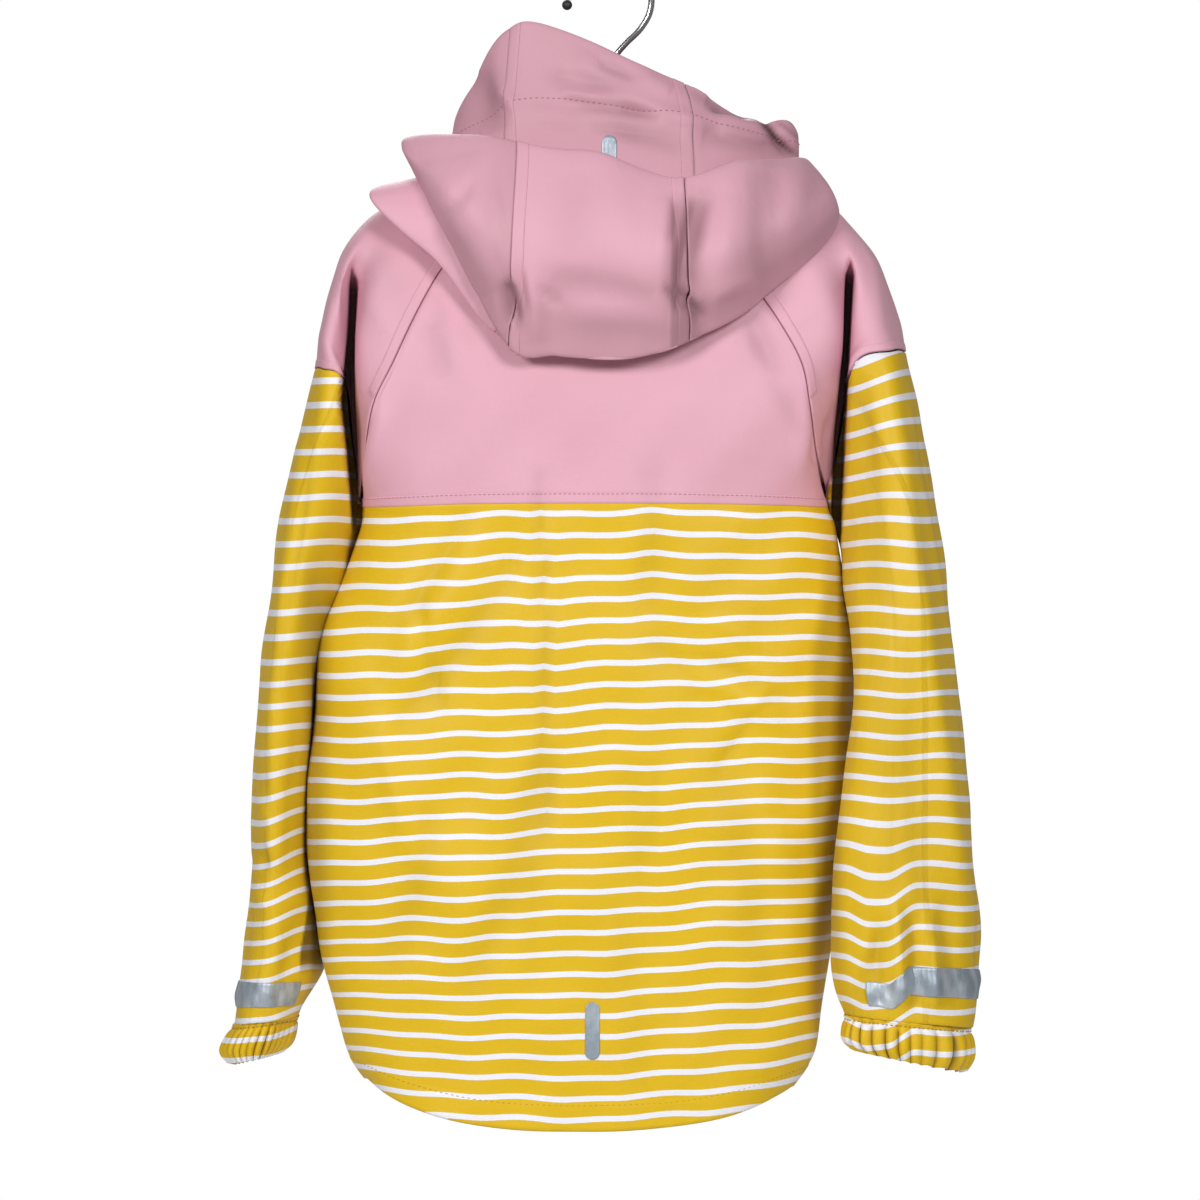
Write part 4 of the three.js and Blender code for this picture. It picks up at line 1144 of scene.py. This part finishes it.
# Folds on the outer side of a sleeve. columns: start y and z, end y and z, height, width, bow
sideFolds = [
    [-36, -300, -20, -420, 1.6, 8, 3], [-6, -280, -14, -400, -1.8, 7, -3], [20, -300, 4, -450, 1.5, 8, 4],
    [-52, -420, -30, -540, -1.6, 8, 4], [-22, -440, -34, -580, 1.7, 8, -3], [4, -470, -10, -600, -1.6, 7, 3],
    [-44, -560, -38, -650, 1.8, 6, 0], [-28, -570, -26, -655, -1.8, 5, 0], [-12, -560, -14, -655, 1.7, 6, 0],
    [6, -580, 2, -650, -1.5, 5, 0],
]

# Height of every so many white stripes on a sleeve: they lie 15 mm apart at the top and 13 at the cuff.
# columns: number of the stripe, its height
leftStripes = [[0, -251.5], [3, -297], [8, -367.5], [11, -410], [13, -441], [17, -496], [22, -559],
               [28, -631], [34, -704]]
rightStripes = [[0, -245], [4, -305], [8, -364], [12, -419], [16, -470], [20, -522], [24, -576.5],
                [28, -628], [34, -705]]


# The stripes drop towards the armhole near the top. Lower down they tilt on the left sleeve and step
# at the fold of the right one.
def sleeveStripes(side, points):
    x, z = points[..., 0], points[..., 2]
    look = sleeveLooks[side]
    table = np.array(leftStripes if side > 0 else rightStripes)
    nearTop = 1 - ease(-z, 250, 380)
    across = np.clip((np.abs(x) - 178) / 24, -1.5, 1.5)
    wave = nearTop * look["drop"] * across + 1.1 * np.sin(x / 9 + z / 70) + look["lift"]
    wave -= look["tilt"] * ease(x, 186, 216) * ease(-z, 470, 570)
    wave -= look["step"] * ease(x, -190, -171) * ease(-z, 520, 600) * (1 - 0.5 * ease(x, -160, -145))
    return np.interp(-(z - wave), -table[:, 1], table[:, 0]) + 0.5


# Painted shade on the left sleeve's front half, where it shows beside its back half, out to this edge.
# columns: distance down, x of the edge
frontHalfEdge = [[400, 187], [540, 186], [576, 188], [600, 190.6], [620, 194]]
# The share of full painted shade in the slots of the head and the lower part, and on the front half.
paintedDarkness = {"headSlot": 0.8, "lowerSlot": 0.85, "frontHalf": 0.8}


# Creases on the back, the same ones lower down on the front, and others on the outer side.
def foldSleeve(side, cloth, folds, inPlay):
    points, normals = cloth.points, cloth.normals
    onBack, onFront = ease(normals[..., 1], -0.1, 0.5), ease(-normals[..., 1], -0.1, 0.5)
    lowered = points + np.array([0, 0, sleeve["frontDrop"]])
    heights = sleeve["foldHeight"] * (creases(points, folds) * onBack + creases(lowered, folds) * onFront)
    outside = ease(side * normals[..., 0], 0.2, 0.8)
    for row in sideFolds:
        heights += outside * crease(points[..., 1] - (side < 0) * sleeve["rightSideY"], points[..., 2], *row)
    heights *= inPlay
    # Painted shade in the troughs.
    cloth.shade = troughShade(heights)
    cloth.push(heights + inPlay * swell(points, sleeve["swell"]))


for name, side, folds in (("left", 1, leftSleeveFolds), ("right", -1, rightSleeveFolds)):
    headShares = shares(sleeve["columns"])
    u = np.clip(headShares, 1e-9, 1 - 1e-9)
    rows = mix(0, sleeve["headRows"] - torso["rowGap"] * 2, shares(sleeve["headGrid"]))
    head = Cloth(sleevePoints(side, u if side > 0 else 1 - u, rows))
    u = np.arange(sleeve["columns"]) / sleeve["columns"]
    rows = sleeve["headRows"] + mix(sleeve["colourSeam"], ringRows, shares(sleeve["lowerGrid"]))
    lower = Cloth(sleevePoints(side, u if side > 0 else (1 - u) % 1, rows), closed=True)
    foldSleeve(side, head, folds, ease(np.minimum(headShares, 1 - headShares), 0, 0.06))
    foldSleeve(side, lower, folds, 1)
    look = sleeveLooks[side]
    # Painted shade: a little all over, shadow where the head faces back, and the inner side beside the body.
    head.shade = head.shade + look["head"] + paintedShadow(head)
    inner = 1 - ease(side * lower.points[..., 0], *look["innerEdge"])
    inner = inner * window(-lower.points[..., 2], 350, 420, 600, 650)
    lower.shade = np.maximum(lower.shade + look["lower"], look["inner"] * inner)
    # Painted shade deep in the armhole slots.
    head.shade = np.maximum(head.shade, paintedDarkness["headSlot"] * openSlot(side, head))
    lower.shade = np.maximum(lower.shade, paintedDarkness["lowerSlot"] * openSlot(side, lower))
    # Painted shade on the left sleeve's front half where it shows beside the back half.
    if side > 0:
        x, down = lower.points[..., 0], -lower.points[..., 2]
        edge = np.interp(down, *np.transpose(frontHalfEdge))
        behind = window(down, 400, 460, 622, 636) * (1 - ease(x - edge, -1.0, 0.8))
        lower.shade = np.maximum(lower.shade, paintedDarkness["frontHalf"] * behind)
    clothPiece(f"sleeve_{name}_head", head, sleeve["thickness"], pinkCloth)
    clothPiece(f"sleeve_{name}_lower", lower, sleeve["thickness"], stripedCloth,
               sleeveStripes(side, lower.points))
print("sleeves ready")

# Cuffs

cuff = {"pleats": 27, "columns": 432, "rows": 28, "thickness": 0.9, "gather": 1.35, "channelRow": 0.12,
        "channel": 0.9, "roll": 1.6, "footDrop": 0.45, "valleyShade": 0.75}


# A ring with pleats: the radius swings by gather * shape(angle), where shape is a cosine whose
# spacing drifts round the ring and whose valleys are narrower than its ridges.
def cuffCloth(side):
    rows = leftCuff if side > 0 else rightCuff
    v = shares(cuff["rows"])
    (innerX, outerX, middleY, halfDepth, lean, innerZ, outerZ,
     gather) = [column[:, None] for column in between(rows, v * (len(rows) - 1)).T]
    u = np.arange(cuff["columns"]) / cuff["columns"]
    u = u if side > 0 else (1 - u) % 1
    angle = np.pi * (1 - 2 * u)[None]
    across = np.cos(angle)
    phase = cuff["pleats"] * angle + 1.7 * np.sin(3 * angle + 0.4) + 1.1 * np.sin(5 * angle + side)
    depth = 1 + 0.3 * np.sin(4 * angle + 1.1 * side) + 0.25 * np.sin(7 * angle + 2)
    shape = 2 * np.abs(np.cos(phase / 2)) ** 0.8 - 1
    row = v[:, None]
    below = (row - cuff["channelRow"]) / (1 - cuff["channelRow"])
    channel = cuff["channel"] * np.exp(-((row - cuff["channelRow"]) / 0.06) ** 2)
    roll = cuff["roll"] * np.sin(np.pi * np.clip(below, 0, 1)) - channel
    wave = gather * cuff["gather"] * depth * shape * mix(0.5, 1.25, row) + roll
    x = mix(innerX, outerX, (1 + across) / 2) + wave * across
    y = middleY + lean * across + (halfDepth + wave) * np.sin(angle)
    z = mix(innerZ, outerZ, (1 + across) / 2) + cuff["footDrop"] * row * shape
    cloth = Cloth(np.stack([side * x, y, z], -1), closed=True)
    # Painted shade in the pleats' valleys.
    valley = (1 - np.abs(np.cos(phase / 2))) ** 2.2 * depth
    cloth.shade = np.clip(cuff["valleyShade"] * valley * ease(row, 0.08, 0.3), 0, 0.85)
    return cloth


for name, side in (("left", 1), ("right", -1)):
    cloth = cuffCloth(side)
    clothPiece(f"cuff_{name}", cloth, cuff["thickness"], stripedCloth,
               sleeveStripes(side, cloth.points))
print("cuffs ready")

# Hood

hood = {"thickness": 1.1, "stationGap": 0.018, "rows": 172, "sideColumns": 124, "centreColumns": 84,
        "closeness": 0.4, "foldHeight": 1.7, "swell": 0.9, "backStations": (3.3, 4.4, 11.6, 12.7),
        "curl": 10.0, "curlLines": (4.1, 4.9, 5.05, 5.8)}
# Painted shade on the pink: the standing brim, the crown and its low rim, places on the crown that lie in
# shadow in the photo, the borders at the seams beside the centre panel, and troughs by the millimetre.
hoodShades = {"brim": 0.21, "crown": 0.04, "lowRim": 0.15, "hollow": 0.24, "besideHollow": 0.04,
              "farRight": 0.08, "leftPanel": 0.15, "border": 0.3, "trough": 0.05}
hoodStack = np.array(list(hoodLines.values()), float)
lastLine = len(hoodStack) - 1


# Point at a station round the neck and a line down the hood, both smooth between their rows.
def hoodCloth(fromStation, toStation, columns):
    stations = mix(toStation, fromStation, shares(columns, hood["closeness"]))
    across = betweenStack(hoodStack, stations)
    lines = mix(0, lastLine, shares(hood["rows"]))
    points = between(across.reshape(lastLine + 1, -1), lines).reshape(len(lines), len(stations), 3)
    return Cloth(points), stations, lines


# Folds of the standing brim and of the hanging crown.
# columns: start x and z, end x and z, height, width, bow
brimFolds = [
    [36, -73, -4, -80, -1.7, 5, 0], [-14, -70, -38, -82, 1.5, 6, 0], [22, -90, -32, -97, -2.0, 4.5, 0],
    [-22, -93, -58, -103, 1.5, 5, 0], [-60, -86, -100, -101, -2.6, 7, 0], [-58, -108, -112, -121, -2.4, 8, 3],
    [84, -70, 70, -108, -2.0, 9, 0], [12, -60, 30, -90, 1.2, 9, 0], [48, -96, 10, -104, 1.2, 6, 0],
    [-4, -104, -44, -116, -1.6, 6, 0], [-70, -96, -104, -108, 1.5, 5, 0], [-98, -94, -118, -110, 1.8, 3.5, 0],
    [-96, -101, -115, -121, -3.0, 3.5, 0],
    [30, -84, 6, -88, 1.6, 2.6, 0], [-8, -92, -30, -97, -1.5, 2.4, 0], [-64, -93, -86, -99, -1.8, 2.6, 1],
    [-70, -106, -96, -113, 1.4, 3, 0], [18, -104, -20, -112, -1.3, 4, 1], [70, -80, 58, -94, 1.5, 4, 0],
    [-52, -78, -84, -92, 1.3, 3, 0], [6, -66, -18, -74, -1.4, 4, 0],
]
crownFolds = [
    [92, -124, 72, -208, 2.4, 16, 0], [59, -122, 60, -204, 1.3, 5, 0], [64, -202, 58, -228, -5.5, 5.5, 0],
    [50, -200, 44, -238, 1.8, 7, 0], [-57, -148, -45, -214, -5.2, 8.5, -3],
    [-32, -150, -28, -208, 1.6, 10, 0], [-43, -210, -58, -226, -3.2, 4.5, 0],
    [-74, -150, -66, -210, 1.6, 11, 0], [-97, -132, -94, -204, -2.0, 11, 0],
    [38, -203, -28, -213, -1.8, 9, 2], [28, -222, -34, -228, 1.4, 8, 2], [20, -132, 24, -190, -1.0, 14, 0],
    [110, -126, 88, -176, 1.6, 10, 0], [-120, -128, -108, -172, 1.5, 10, 0],
    [-40, -150, -38, -176, -2.0, 3.5, 1], [-34, -206, -44, -220, -2.2, 2.6, 0],
    [-46, -206, -56, -214, 1.6, 3, 0],
    [46, -206, 30, -216, -1.6, 3.2, 0], [56, -196, 50, -222, -2.2, 3, 0], [84, -140, 100, -160, -1.2, 5, 2],
    [-62, -212, -92, -200, 1.3, 5, 2], [70, -150, 66, -190, 1.0, 4, 1],
]
# Painted shade in the hollows of the brim's knob. columns: start x and z, end x and z, shade, width, bow
knobHollowShades = [[-93, -97, -116, -121, 0.55, 2.4, -2], [-103, -99, -119, -112, 0.3, 1.8, 0]]


# 1 from one line of the hood to another, fading over a third of a line.
def linesBetween(lines, first, last):
    return window(lines, first - 0.3, first, last, last + 0.3)[:, None]


# Folds and painted shade of the back of the hood, between the stations beside the neck. The crown's lower
# edge
# also curls in under itself.
def foldHood(cloth, stations, lines):
    atBack = window(stations, *hood["backStations"])[None]
    points = cloth.points.copy()
    points[..., 1] -= hood["curl"] * window(lines, *hood["curlLines"])[:, None] * atBack
    cloth.place(points)
    crown = linesBetween(lines, 2.9, 5.0)
    heights = hood["foldHeight"] * (linesBetween(lines, 0, 2.0) * creases(cloth.points, brimFolds)
                                    + crown * creases(cloth.points, crownFolds))
    cloth.push((heights + swell(cloth.points, hood["swell"])) * atBack)
    x, z = cloth.points[..., 0], cloth.points[..., 2]
    look = hoodShades
    # Painted shade on the crown, and below on the brim and low rim; troughs and the knob's hollows add
    # theirs.
    onCrown = (look["crown"] + look["hollow"] * window(-x, 36, 38.5, 49, 64) * ease(-z, 143, 160)
               + look["besideHollow"] * ease(-x, 49, 60)
               + look["farRight"] * ease(-x + 0.12 * (z + 150), 94, 99) * (1 - ease(-z, 176, 196))
               + look["leftPanel"] * ease(stations, 4.7, 5.8) * (stations < 6))
    cloth.shade = (atBack * (look["brim"] * (1 - ease(lines, 1.4, 2.6))[:, None]
                             + look["lowRim"] * linesBetween(lines, 4.6, 5.2) + crown * onCrown)
                   + linesBetween(lines, 0, 1.6) * creases(cloth.points, knobHollowShades)
                   + troughShade(heights, look["trough"]))


for name, fromStation, toStation, columns in (
        ("left", 0, 6 - hood["stationGap"], hood["sideColumns"]),
        ("centre", 6 + hood["stationGap"], 10 - hood["stationGap"], hood["centreColumns"]),
        ("right", 10 + hood["stationGap"], 16, hood["sideColumns"])):
    cloth, stations, lines = hoodCloth(fromStation, toStation, columns)
    foldHood(cloth, stations, lines)
    # Painted shade along the side panels' borders at the seams.
    if name != "centre":
        cloth.shade[:, 0 if name == "left" else -1] = hoodShades["border"]
    clothPiece(f"hood_{name}", cloth, hood["thickness"], pinkCloth)
print("hood ready")

# Seams and stitches

# How far in from their borders tapes reach and stitches run, and the row of the hood's facing.
seams = {"hoodTape": 7.5, "yokeTape": 6.5, "raglanTape": 6.0, "colourTape": 4.5, "yokeStitch": 5.6,
         "cuffStitch": 2.6, "facingRow": hood["rows"] / lastLine}
for border, way in (("first", "right"), ("last", "left")):
    tape(f"hood_tape_{way}", "hood_centre", border, seams["hoodTape"])
tape("yoke_tape", "back_yoke", "bottom", seams["yokeTape"], fromShare=0.01, toShare=0.99)
seam("yoke_stitch", "back_yoke", "bottom", seams["yokeStitch"], "pink_cloth", pinkThread,
     spacing=3.0, lift=1.0, fromShare=0.01, toShare=0.99, length=1.9, radius=0.22)


def hemStitch(name, node):
    seam(name, node, "bottom", hem["depth"], "striped_cloth", yellowThread)


def facingStitch(name):
    seam(f"facing_stitch_{name}", f"hood_{name}", "top", 0, "pink_cloth", pinkThread,
         row=seams["facingRow"], length=1.9)


hemStitch("hem_stitch_back", "back_lower")
for name in ("left", "right"):
    hemStitch(f"hem_stitch_front_{name}", f"front_{name}_lower")
    facingStitch(name)
    head = f"sleeve_{name}_head"
    tape(f"raglan_tape_{name}", head, "first" if name == "left" else "last", seams["raglanTape"],
         height=0.6, toShare=0.7)
    tape(f"colour_tape_{name}", head, "bottom", seams["colourTape"], fromShare=0.02, toShare=0.98)
    seam(f"cuff_stitch_{name}", f"cuff_{name}", "top", seams["cuffStitch"], "striped_cloth", yellowThread,
         spacing=3.0, length=1.8, lift=0.5)
facingStitch("centre")
print("seams ready")

# Reflective trim

trim = {"thickness": 0.45, "lift": 0.9, "bandLift": 1.05, "pillWidth": 8.8, "pillColumns": 9, "pillSteps": 40,
        "bandColumns": 150, "bandRows": 12}


# A patch with round ends on a sheet, centred at x and z: across the patch the half width is
# radius * sqrt(1 - t^2) inside each rounded end, where t runs from 0 to 1 over it.
def pillCloth(cloth, x, z, height, columnShare, rowShare):
    rows, columns = cloth.points.shape[:2]
    radius = trim["pillWidth"] / 2
    down = height / 2 * np.sin(np.pi * (np.linspace(0, 1, trim["pillSteps"] + 1) - 0.5))
    beyond = np.clip((np.abs(down) - (height / 2 - radius)) / radius, 0, 0.985)
    across = np.linspace(-1, 1, trim["pillColumns"] + 1)
    wantX = x - radius * np.sqrt(1 - beyond ** 2)[:, None] * across[None]
    wantZ = z - down[:, None] + 0 * across[None]
    return patchOf(cloth, *cloth.locate(wantX, wantZ, columnShare * columns, rowShare * rows))


def trimPiece(node, carrier, patch, lift):
    piece = wallMesh(node + "_film", patch, trim["thickness"], reflectiveFilm, lift)
    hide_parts(node)
    sheetPieces[carrier]["sewn"].append(piece)


# columns: node, carrier, centre x and z, height, shares across and down the carrier where the search starts
pills = [["reflector_back", "back_lower", 11, -666, 35.5, 0.45, 0.8],
         ["reflector_hood", "hood_centre", 0.5, -126, 30, 0.5, 0.2]]
for node, carrier, *place in pills:
    trimPiece(node, carrier, pillCloth(sheetPieces[carrier]["cloth"], *place), trim["lift"])

# Bands round the sleeves, as shares of the way round and down the sleeve's grid. A fold of the right
# sleeve drops the last stretch of its band. Each band is crinkled outwards between its edges.
# columns: side, round from and to, top at both ends, foot at both ends, where the step is, its drop
bands = [["left", 0.15, 0.85, 0.888, 0.888, 0.95, 0.95, 0.5, 0.0],
         ["right", 0.2, 0.84, 0.864, 0.836, 0.927, 0.909, 0.764, 0.046]]
for name, aroundFrom, aroundTo, topFrom, topTo, footFrom, footTo, stepAt, drop in bands:
    around, down = np.meshgrid(np.linspace(0, 1, trim["bandColumns"]), np.linspace(0, 1, trim["bandRows"]))
    place = mix(aroundFrom, aroundTo, around)
    y = mix(mix(topFrom, topTo, around), mix(footFrom, footTo, around), down)
    y = y + drop * ease(place, stepAt - 0.02, stepAt + 0.02)
    carrier = f"sleeve_{name}_lower"
    patch = patchOf(sheetPieces[carrier]["cloth"], place * sleeve["columns"], y * sleeve["lowerGrid"])
    x, z = patch.points[..., 0], patch.points[..., 2]
    crinkle = 0.8 + 0.5 * np.sin(x / 3.3 + z / 6) + 0.3 * np.sin(x / 1.7 - z / 3.1 + 1)
    patch.push(crinkle * np.sin(np.pi * down))
    trimPiece(f"reflector_sleeve_{name}", carrier, patch, trim["bandLift"])
print("reflectors ready")

# Front closing

placket = {"width": 34, "top": 0.3, "foot": hemRow - 0.1, "lift": 1.85, "thickness": 1.2, "columns": 24,
           "stitch": 3.0}


# A strip of even width over the middle: u sets x, and the torso's plan gives the angle for that x.
def placketCloth(fromRow, toRow, rows):
    u, v = np.meshgrid(shares(placket["columns"]), mix(fromRow, toRow, shares(rows)))
    row = between(torsoRows, v)
    share = (1 - 2 * u) * placket["width"] / (row[..., 0] - row[..., 3])
    angle = np.arccos(soft(share, 1 / torso["fullness"]))
    return Cloth(torsoPoint(angle / np.pi, v, True))


# A press stud turned on its axis. columns: radius and height as shares of its own
studProfile = [[0.0, 1.0], [0.3, 1.0], [0.42, 0.9], [0.5, 0.72], [0.66, 0.7], [0.76, 0.92], [0.88, 0.96],
               [0.97, 0.8], [1.0, 0.45], [0.98, 0.0], [0.6, -0.1], [0.0, -0.1]]
stud = {"radius": 6.0, "height": 2.4, "sides": 40, "rings": 26, "seat": 0.3}


def studMesh(name, seat, normal):
    side = unit(np.cross(normal, [0, 0, 1.0]))
    up = np.cross(side, normal)
    turn = fullTurn * np.arange(stud["sides"]) / stud["sides"]
    profile = between(studProfile, np.linspace(0, len(studProfile) - 1, stud["rings"]))
    ring = (np.cos(turn)[:, None] * side + np.sin(turn)[:, None] * up) * stud["radius"]
    rise = profile[:, None, 1:] * normal * stud["height"]
    rings = seat + profile[1:-1, None, :1] * ring[None] + rise[1:-1]
    verts = np.concatenate([rings.reshape(-1, 3), seat + rise[[0, -1], 0]])
    faces = tubeFaces(len(rings), stud["sides"], fans=True, turned=True)
    return makeMesh(name, verts, faces, studPlastic)


studCount = 0
for part, fromRow, toRow, rows, slot, material, thread, studRows in (
        ("yoke", placket["top"], yokeFoot, torso["frontYokeRows"], "pink_cloth", pinkCloth, pinkThread,
         (1.2, 5.2)),
        ("lower", lowerTop, placket["foot"], torso["frontLowerRows"], "striped_cloth", stripedCloth,
         yellowThread, (9.6, 12.7, 16))):
    cloth = placketCloth(fromRow, toRow, rows)
    node = f"placket_{part}"
    stripe = bodyStripes(cloth.points) if part == "lower" else None
    clothPiece(node, cloth, placket["thickness"], material, stripe, placket["lift"])
    for border in ("first", "last"):
        seam(f"placket_stitch_{part}_{border}", node, border, placket["stitch"], slot, thread,
             lift=placket["lift"] + placket["thickness"] / 2)
    out = placket["lift"] + placket["thickness"] / 2 + stud["seat"]
    for row in studRows:
        studCount += 1
        down = (row - fromRow) / (toRow - fromRow) * rows
        seat, normal = cloth.at(np.array(placket["columns"] / 2), np.array(down))
        piece = studMesh(f"stud_{studCount}", seat + normal * out, normal)
        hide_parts(f"press_stud_{studCount}")
        sheetPieces[node]["sewn"].append(piece)
print("front closing ready")

# Hanger

hanger = {"wire": 2.0, "wireSides": 20, "wireSteps": 180, "crook": 26, "crookStart": 0.01, "crookEnd": 3.43,
          "tip": 3.2, "tipStart": 0.3, "tipRings": 24, "tipSides": 28, "armDepth": 9, "armHeight": 12,
          "armSides": 32, "armSteps": 100, "armFullness": 0.62}
crookZ = -(hanger["crook"] - hanger["wire"])
crookTurn = mix(hanger["crookStart"], hanger["crookEnd"], shares(7))
# columns: x, z of the wire below the crook
wireBelow = [[-19, -42], [-10, -51], [-3.5, -59], [-0.8, -68], [0, -80], [0, -95], [0, -110], [0, -124.7]]
crookRows = hanger["crook"] * np.stack([np.cos(crookTurn), np.sin(crookTurn)], -1) + [0, crookZ]
wireRows = np.concatenate([crookRows, wireBelow])
# columns: x, z of the top of the arms
armTops = [[-136, -155.5], [-120, -151.6], [-103, -147.9], [-67, -141], [-35, -131.5], [0, -125],
           [35, -131.5], [70, -141], [105, -147.9], [122, -151.6], [139, -155.5]]


# Path in the plane y = 0 through rows of x and z, with its side (in the plane) and its normal +y.
def flatPath(rows, steps):
    xz = between(rows, np.linspace(0, len(rows) - 1, steps + 1))
    path = np.stack([xz[:, 0], 0 * xz[:, 0], xz[:, 1]], -1)
    way = unit(np.gradient(path, axis=0))
    normal = np.broadcast_to([0.0, 1.0, 0.0], path.shape)
    return path, np.cross(way, normal), normal


def ovalOutline(width, height, sides, power=1.0):
    turn = fullTurn * np.arange(sides) / sides
    return np.stack([width / 2 * soft(np.cos(turn), power), height / 2 * soft(np.sin(turn), power)], -1)


path, across, normals = flatPath(wireRows, hanger["wireSteps"])
wireOutline = ovalOutline(2 * hanger["wire"], 2 * hanger["wire"], hanger["wireSides"])
hook = sweepMesh("hook_wire", path, across, normals, wireOutline, chromeWire)
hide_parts("hanger_hook")

# The cap on the wire's end: a ball that begins just before the end and runs on along the wire's way.
tipWay = unit(path[0] - path[1])
capTurn = np.linspace(0.02, np.pi - 0.02, hanger["tipRings"])
capPath = path[0] + tipWay * (hanger["tip"] * (1 - np.cos(capTurn)) + hanger["tipStart"])[:, None]
capOutline = ovalOutline(2 * hanger["tip"], 2 * hanger["tip"], hanger["tipSides"])
capRing = capOutline @ np.stack([across[0], normals[0]])
capRings = capPath[:, None] + np.sin(capTurn)[:, None, None] * capRing
cap = makeMesh("hook_cap", capRings.reshape(-1, 3),
               tubeFaces(hanger["tipRings"], hanger["tipSides"], turned=True), blackCap)
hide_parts("hook_tip")

armRows = np.array(armTops) - np.array([0, hanger["armHeight"] / 2])
path, across, normals = flatPath(armRows, hanger["armSteps"])
armOutline = ovalOutline(hanger["armHeight"], hanger["armDepth"], hanger["armSides"], hanger["armFullness"])
arms = sweepMesh("hanger_bar", path, across, normals, armOutline, hangerPlastic)
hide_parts("hanger_arms")
print("hanger ready")

# Sheets: their lengths and points are worked out here, and used no further.

for node, sheet in sheetPieces.items():
    across, down = sheet["cloth"].lengths()
    points = sheet["cloth"].points
    if sheet["cloth"].closed:
        points = np.concatenate([points, points[:, :1]], 1)

# Studio

view = {"distance": 8.0, "width": 0.75, "centreX": 0.00625, "centreZ": -0.399, "sensor": 36.0}
camera = bpy.data.cameras.new("camera")
camera.sensor_width = view["sensor"]
camera.lens = view["sensor"] * view["distance"] / view["width"]
camera.clip_end = 100
cameraObject = bpy.data.objects.new("camera", camera)
cameraObject.location = (view["centreX"], view["distance"], view["centreZ"])
cameraObject.rotation_euler = (np.pi / 2, 0, np.pi)
scene.collection.objects.link(cameraObject)
scene.camera = cameraObject

lightTarget = (0, 0, -0.4)


def areaLight(name, place, size, power):
    light = bpy.data.lights.new(name, "AREA")
    light.shape = "DISK"
    light.size = size
    light.energy = power
    lamp = bpy.data.objects.new(name, light)
    lamp.location = place
    way = np.array(lightTarget) - np.array(place)
    lamp.rotation_euler = Vector(way).to_track_quat("-Z", "Y").to_euler()
    scene.collection.objects.link(lamp)


# columns: name, place, size, power
lights = [["key", (-1.35, 3.2, 1.0), 1.1, 65], ["fill", (1.95, 2.9, 0.9), 1.1, 65],
          ["frontFill", (0.4, -3.0, 1.4), 2.0, 45]]
for name, place, size, power in lights:
    areaLight(name, place, size, power)

# The background is seen brighter than it shines.
studio = {"seen": 0.78, "shine": 0.22, "floorRadius": 1200, "floorZ": -1100, "floorSides": 96,
          "floor": (0.85, 0.85, 0.85, 1)}
world = bpy.data.worlds.new("studio")
world.use_nodes = True
scene.world = world
tree = world.node_tree
background = tree.nodes["Background"]
background.inputs["Color"].default_value = (1, 1, 1, 1)
rays = tree.nodes.new("ShaderNodeLightPath")
tree.links.new(linear(tree, rays.outputs["Is Camera Ray"], studio["seen"], studio["shine"]),
               background.inputs["Strength"])

floorRing = ovalOutline(2 * studio["floorRadius"], 2 * studio["floorRadius"], studio["floorSides"])
floorRing = np.concatenate([floorRing, np.full((studio["floorSides"], 1), studio["floorZ"])], 1)
floorMesh = bpy.data.meshes.new("floor")
floorMesh.from_pydata((floorRing * mm).tolist(), [], [list(range(studio["floorSides"]))])
floorMaterial, tree, shader = newMaterial("paleFloor", Roughness=0.9)
shader.inputs["Base Color"].default_value = studio["floor"]
floorMesh.materials.append(floorMaterial)
floor = bpy.data.objects.new("floor", floorMesh)
scene.collection.objects.link(floor)
print("studio ready")

triangles = sum(len(mesh.loops) - 2 * len(mesh.polygons) for mesh in bpy.data.meshes)
print("triangles in all:", triangles)
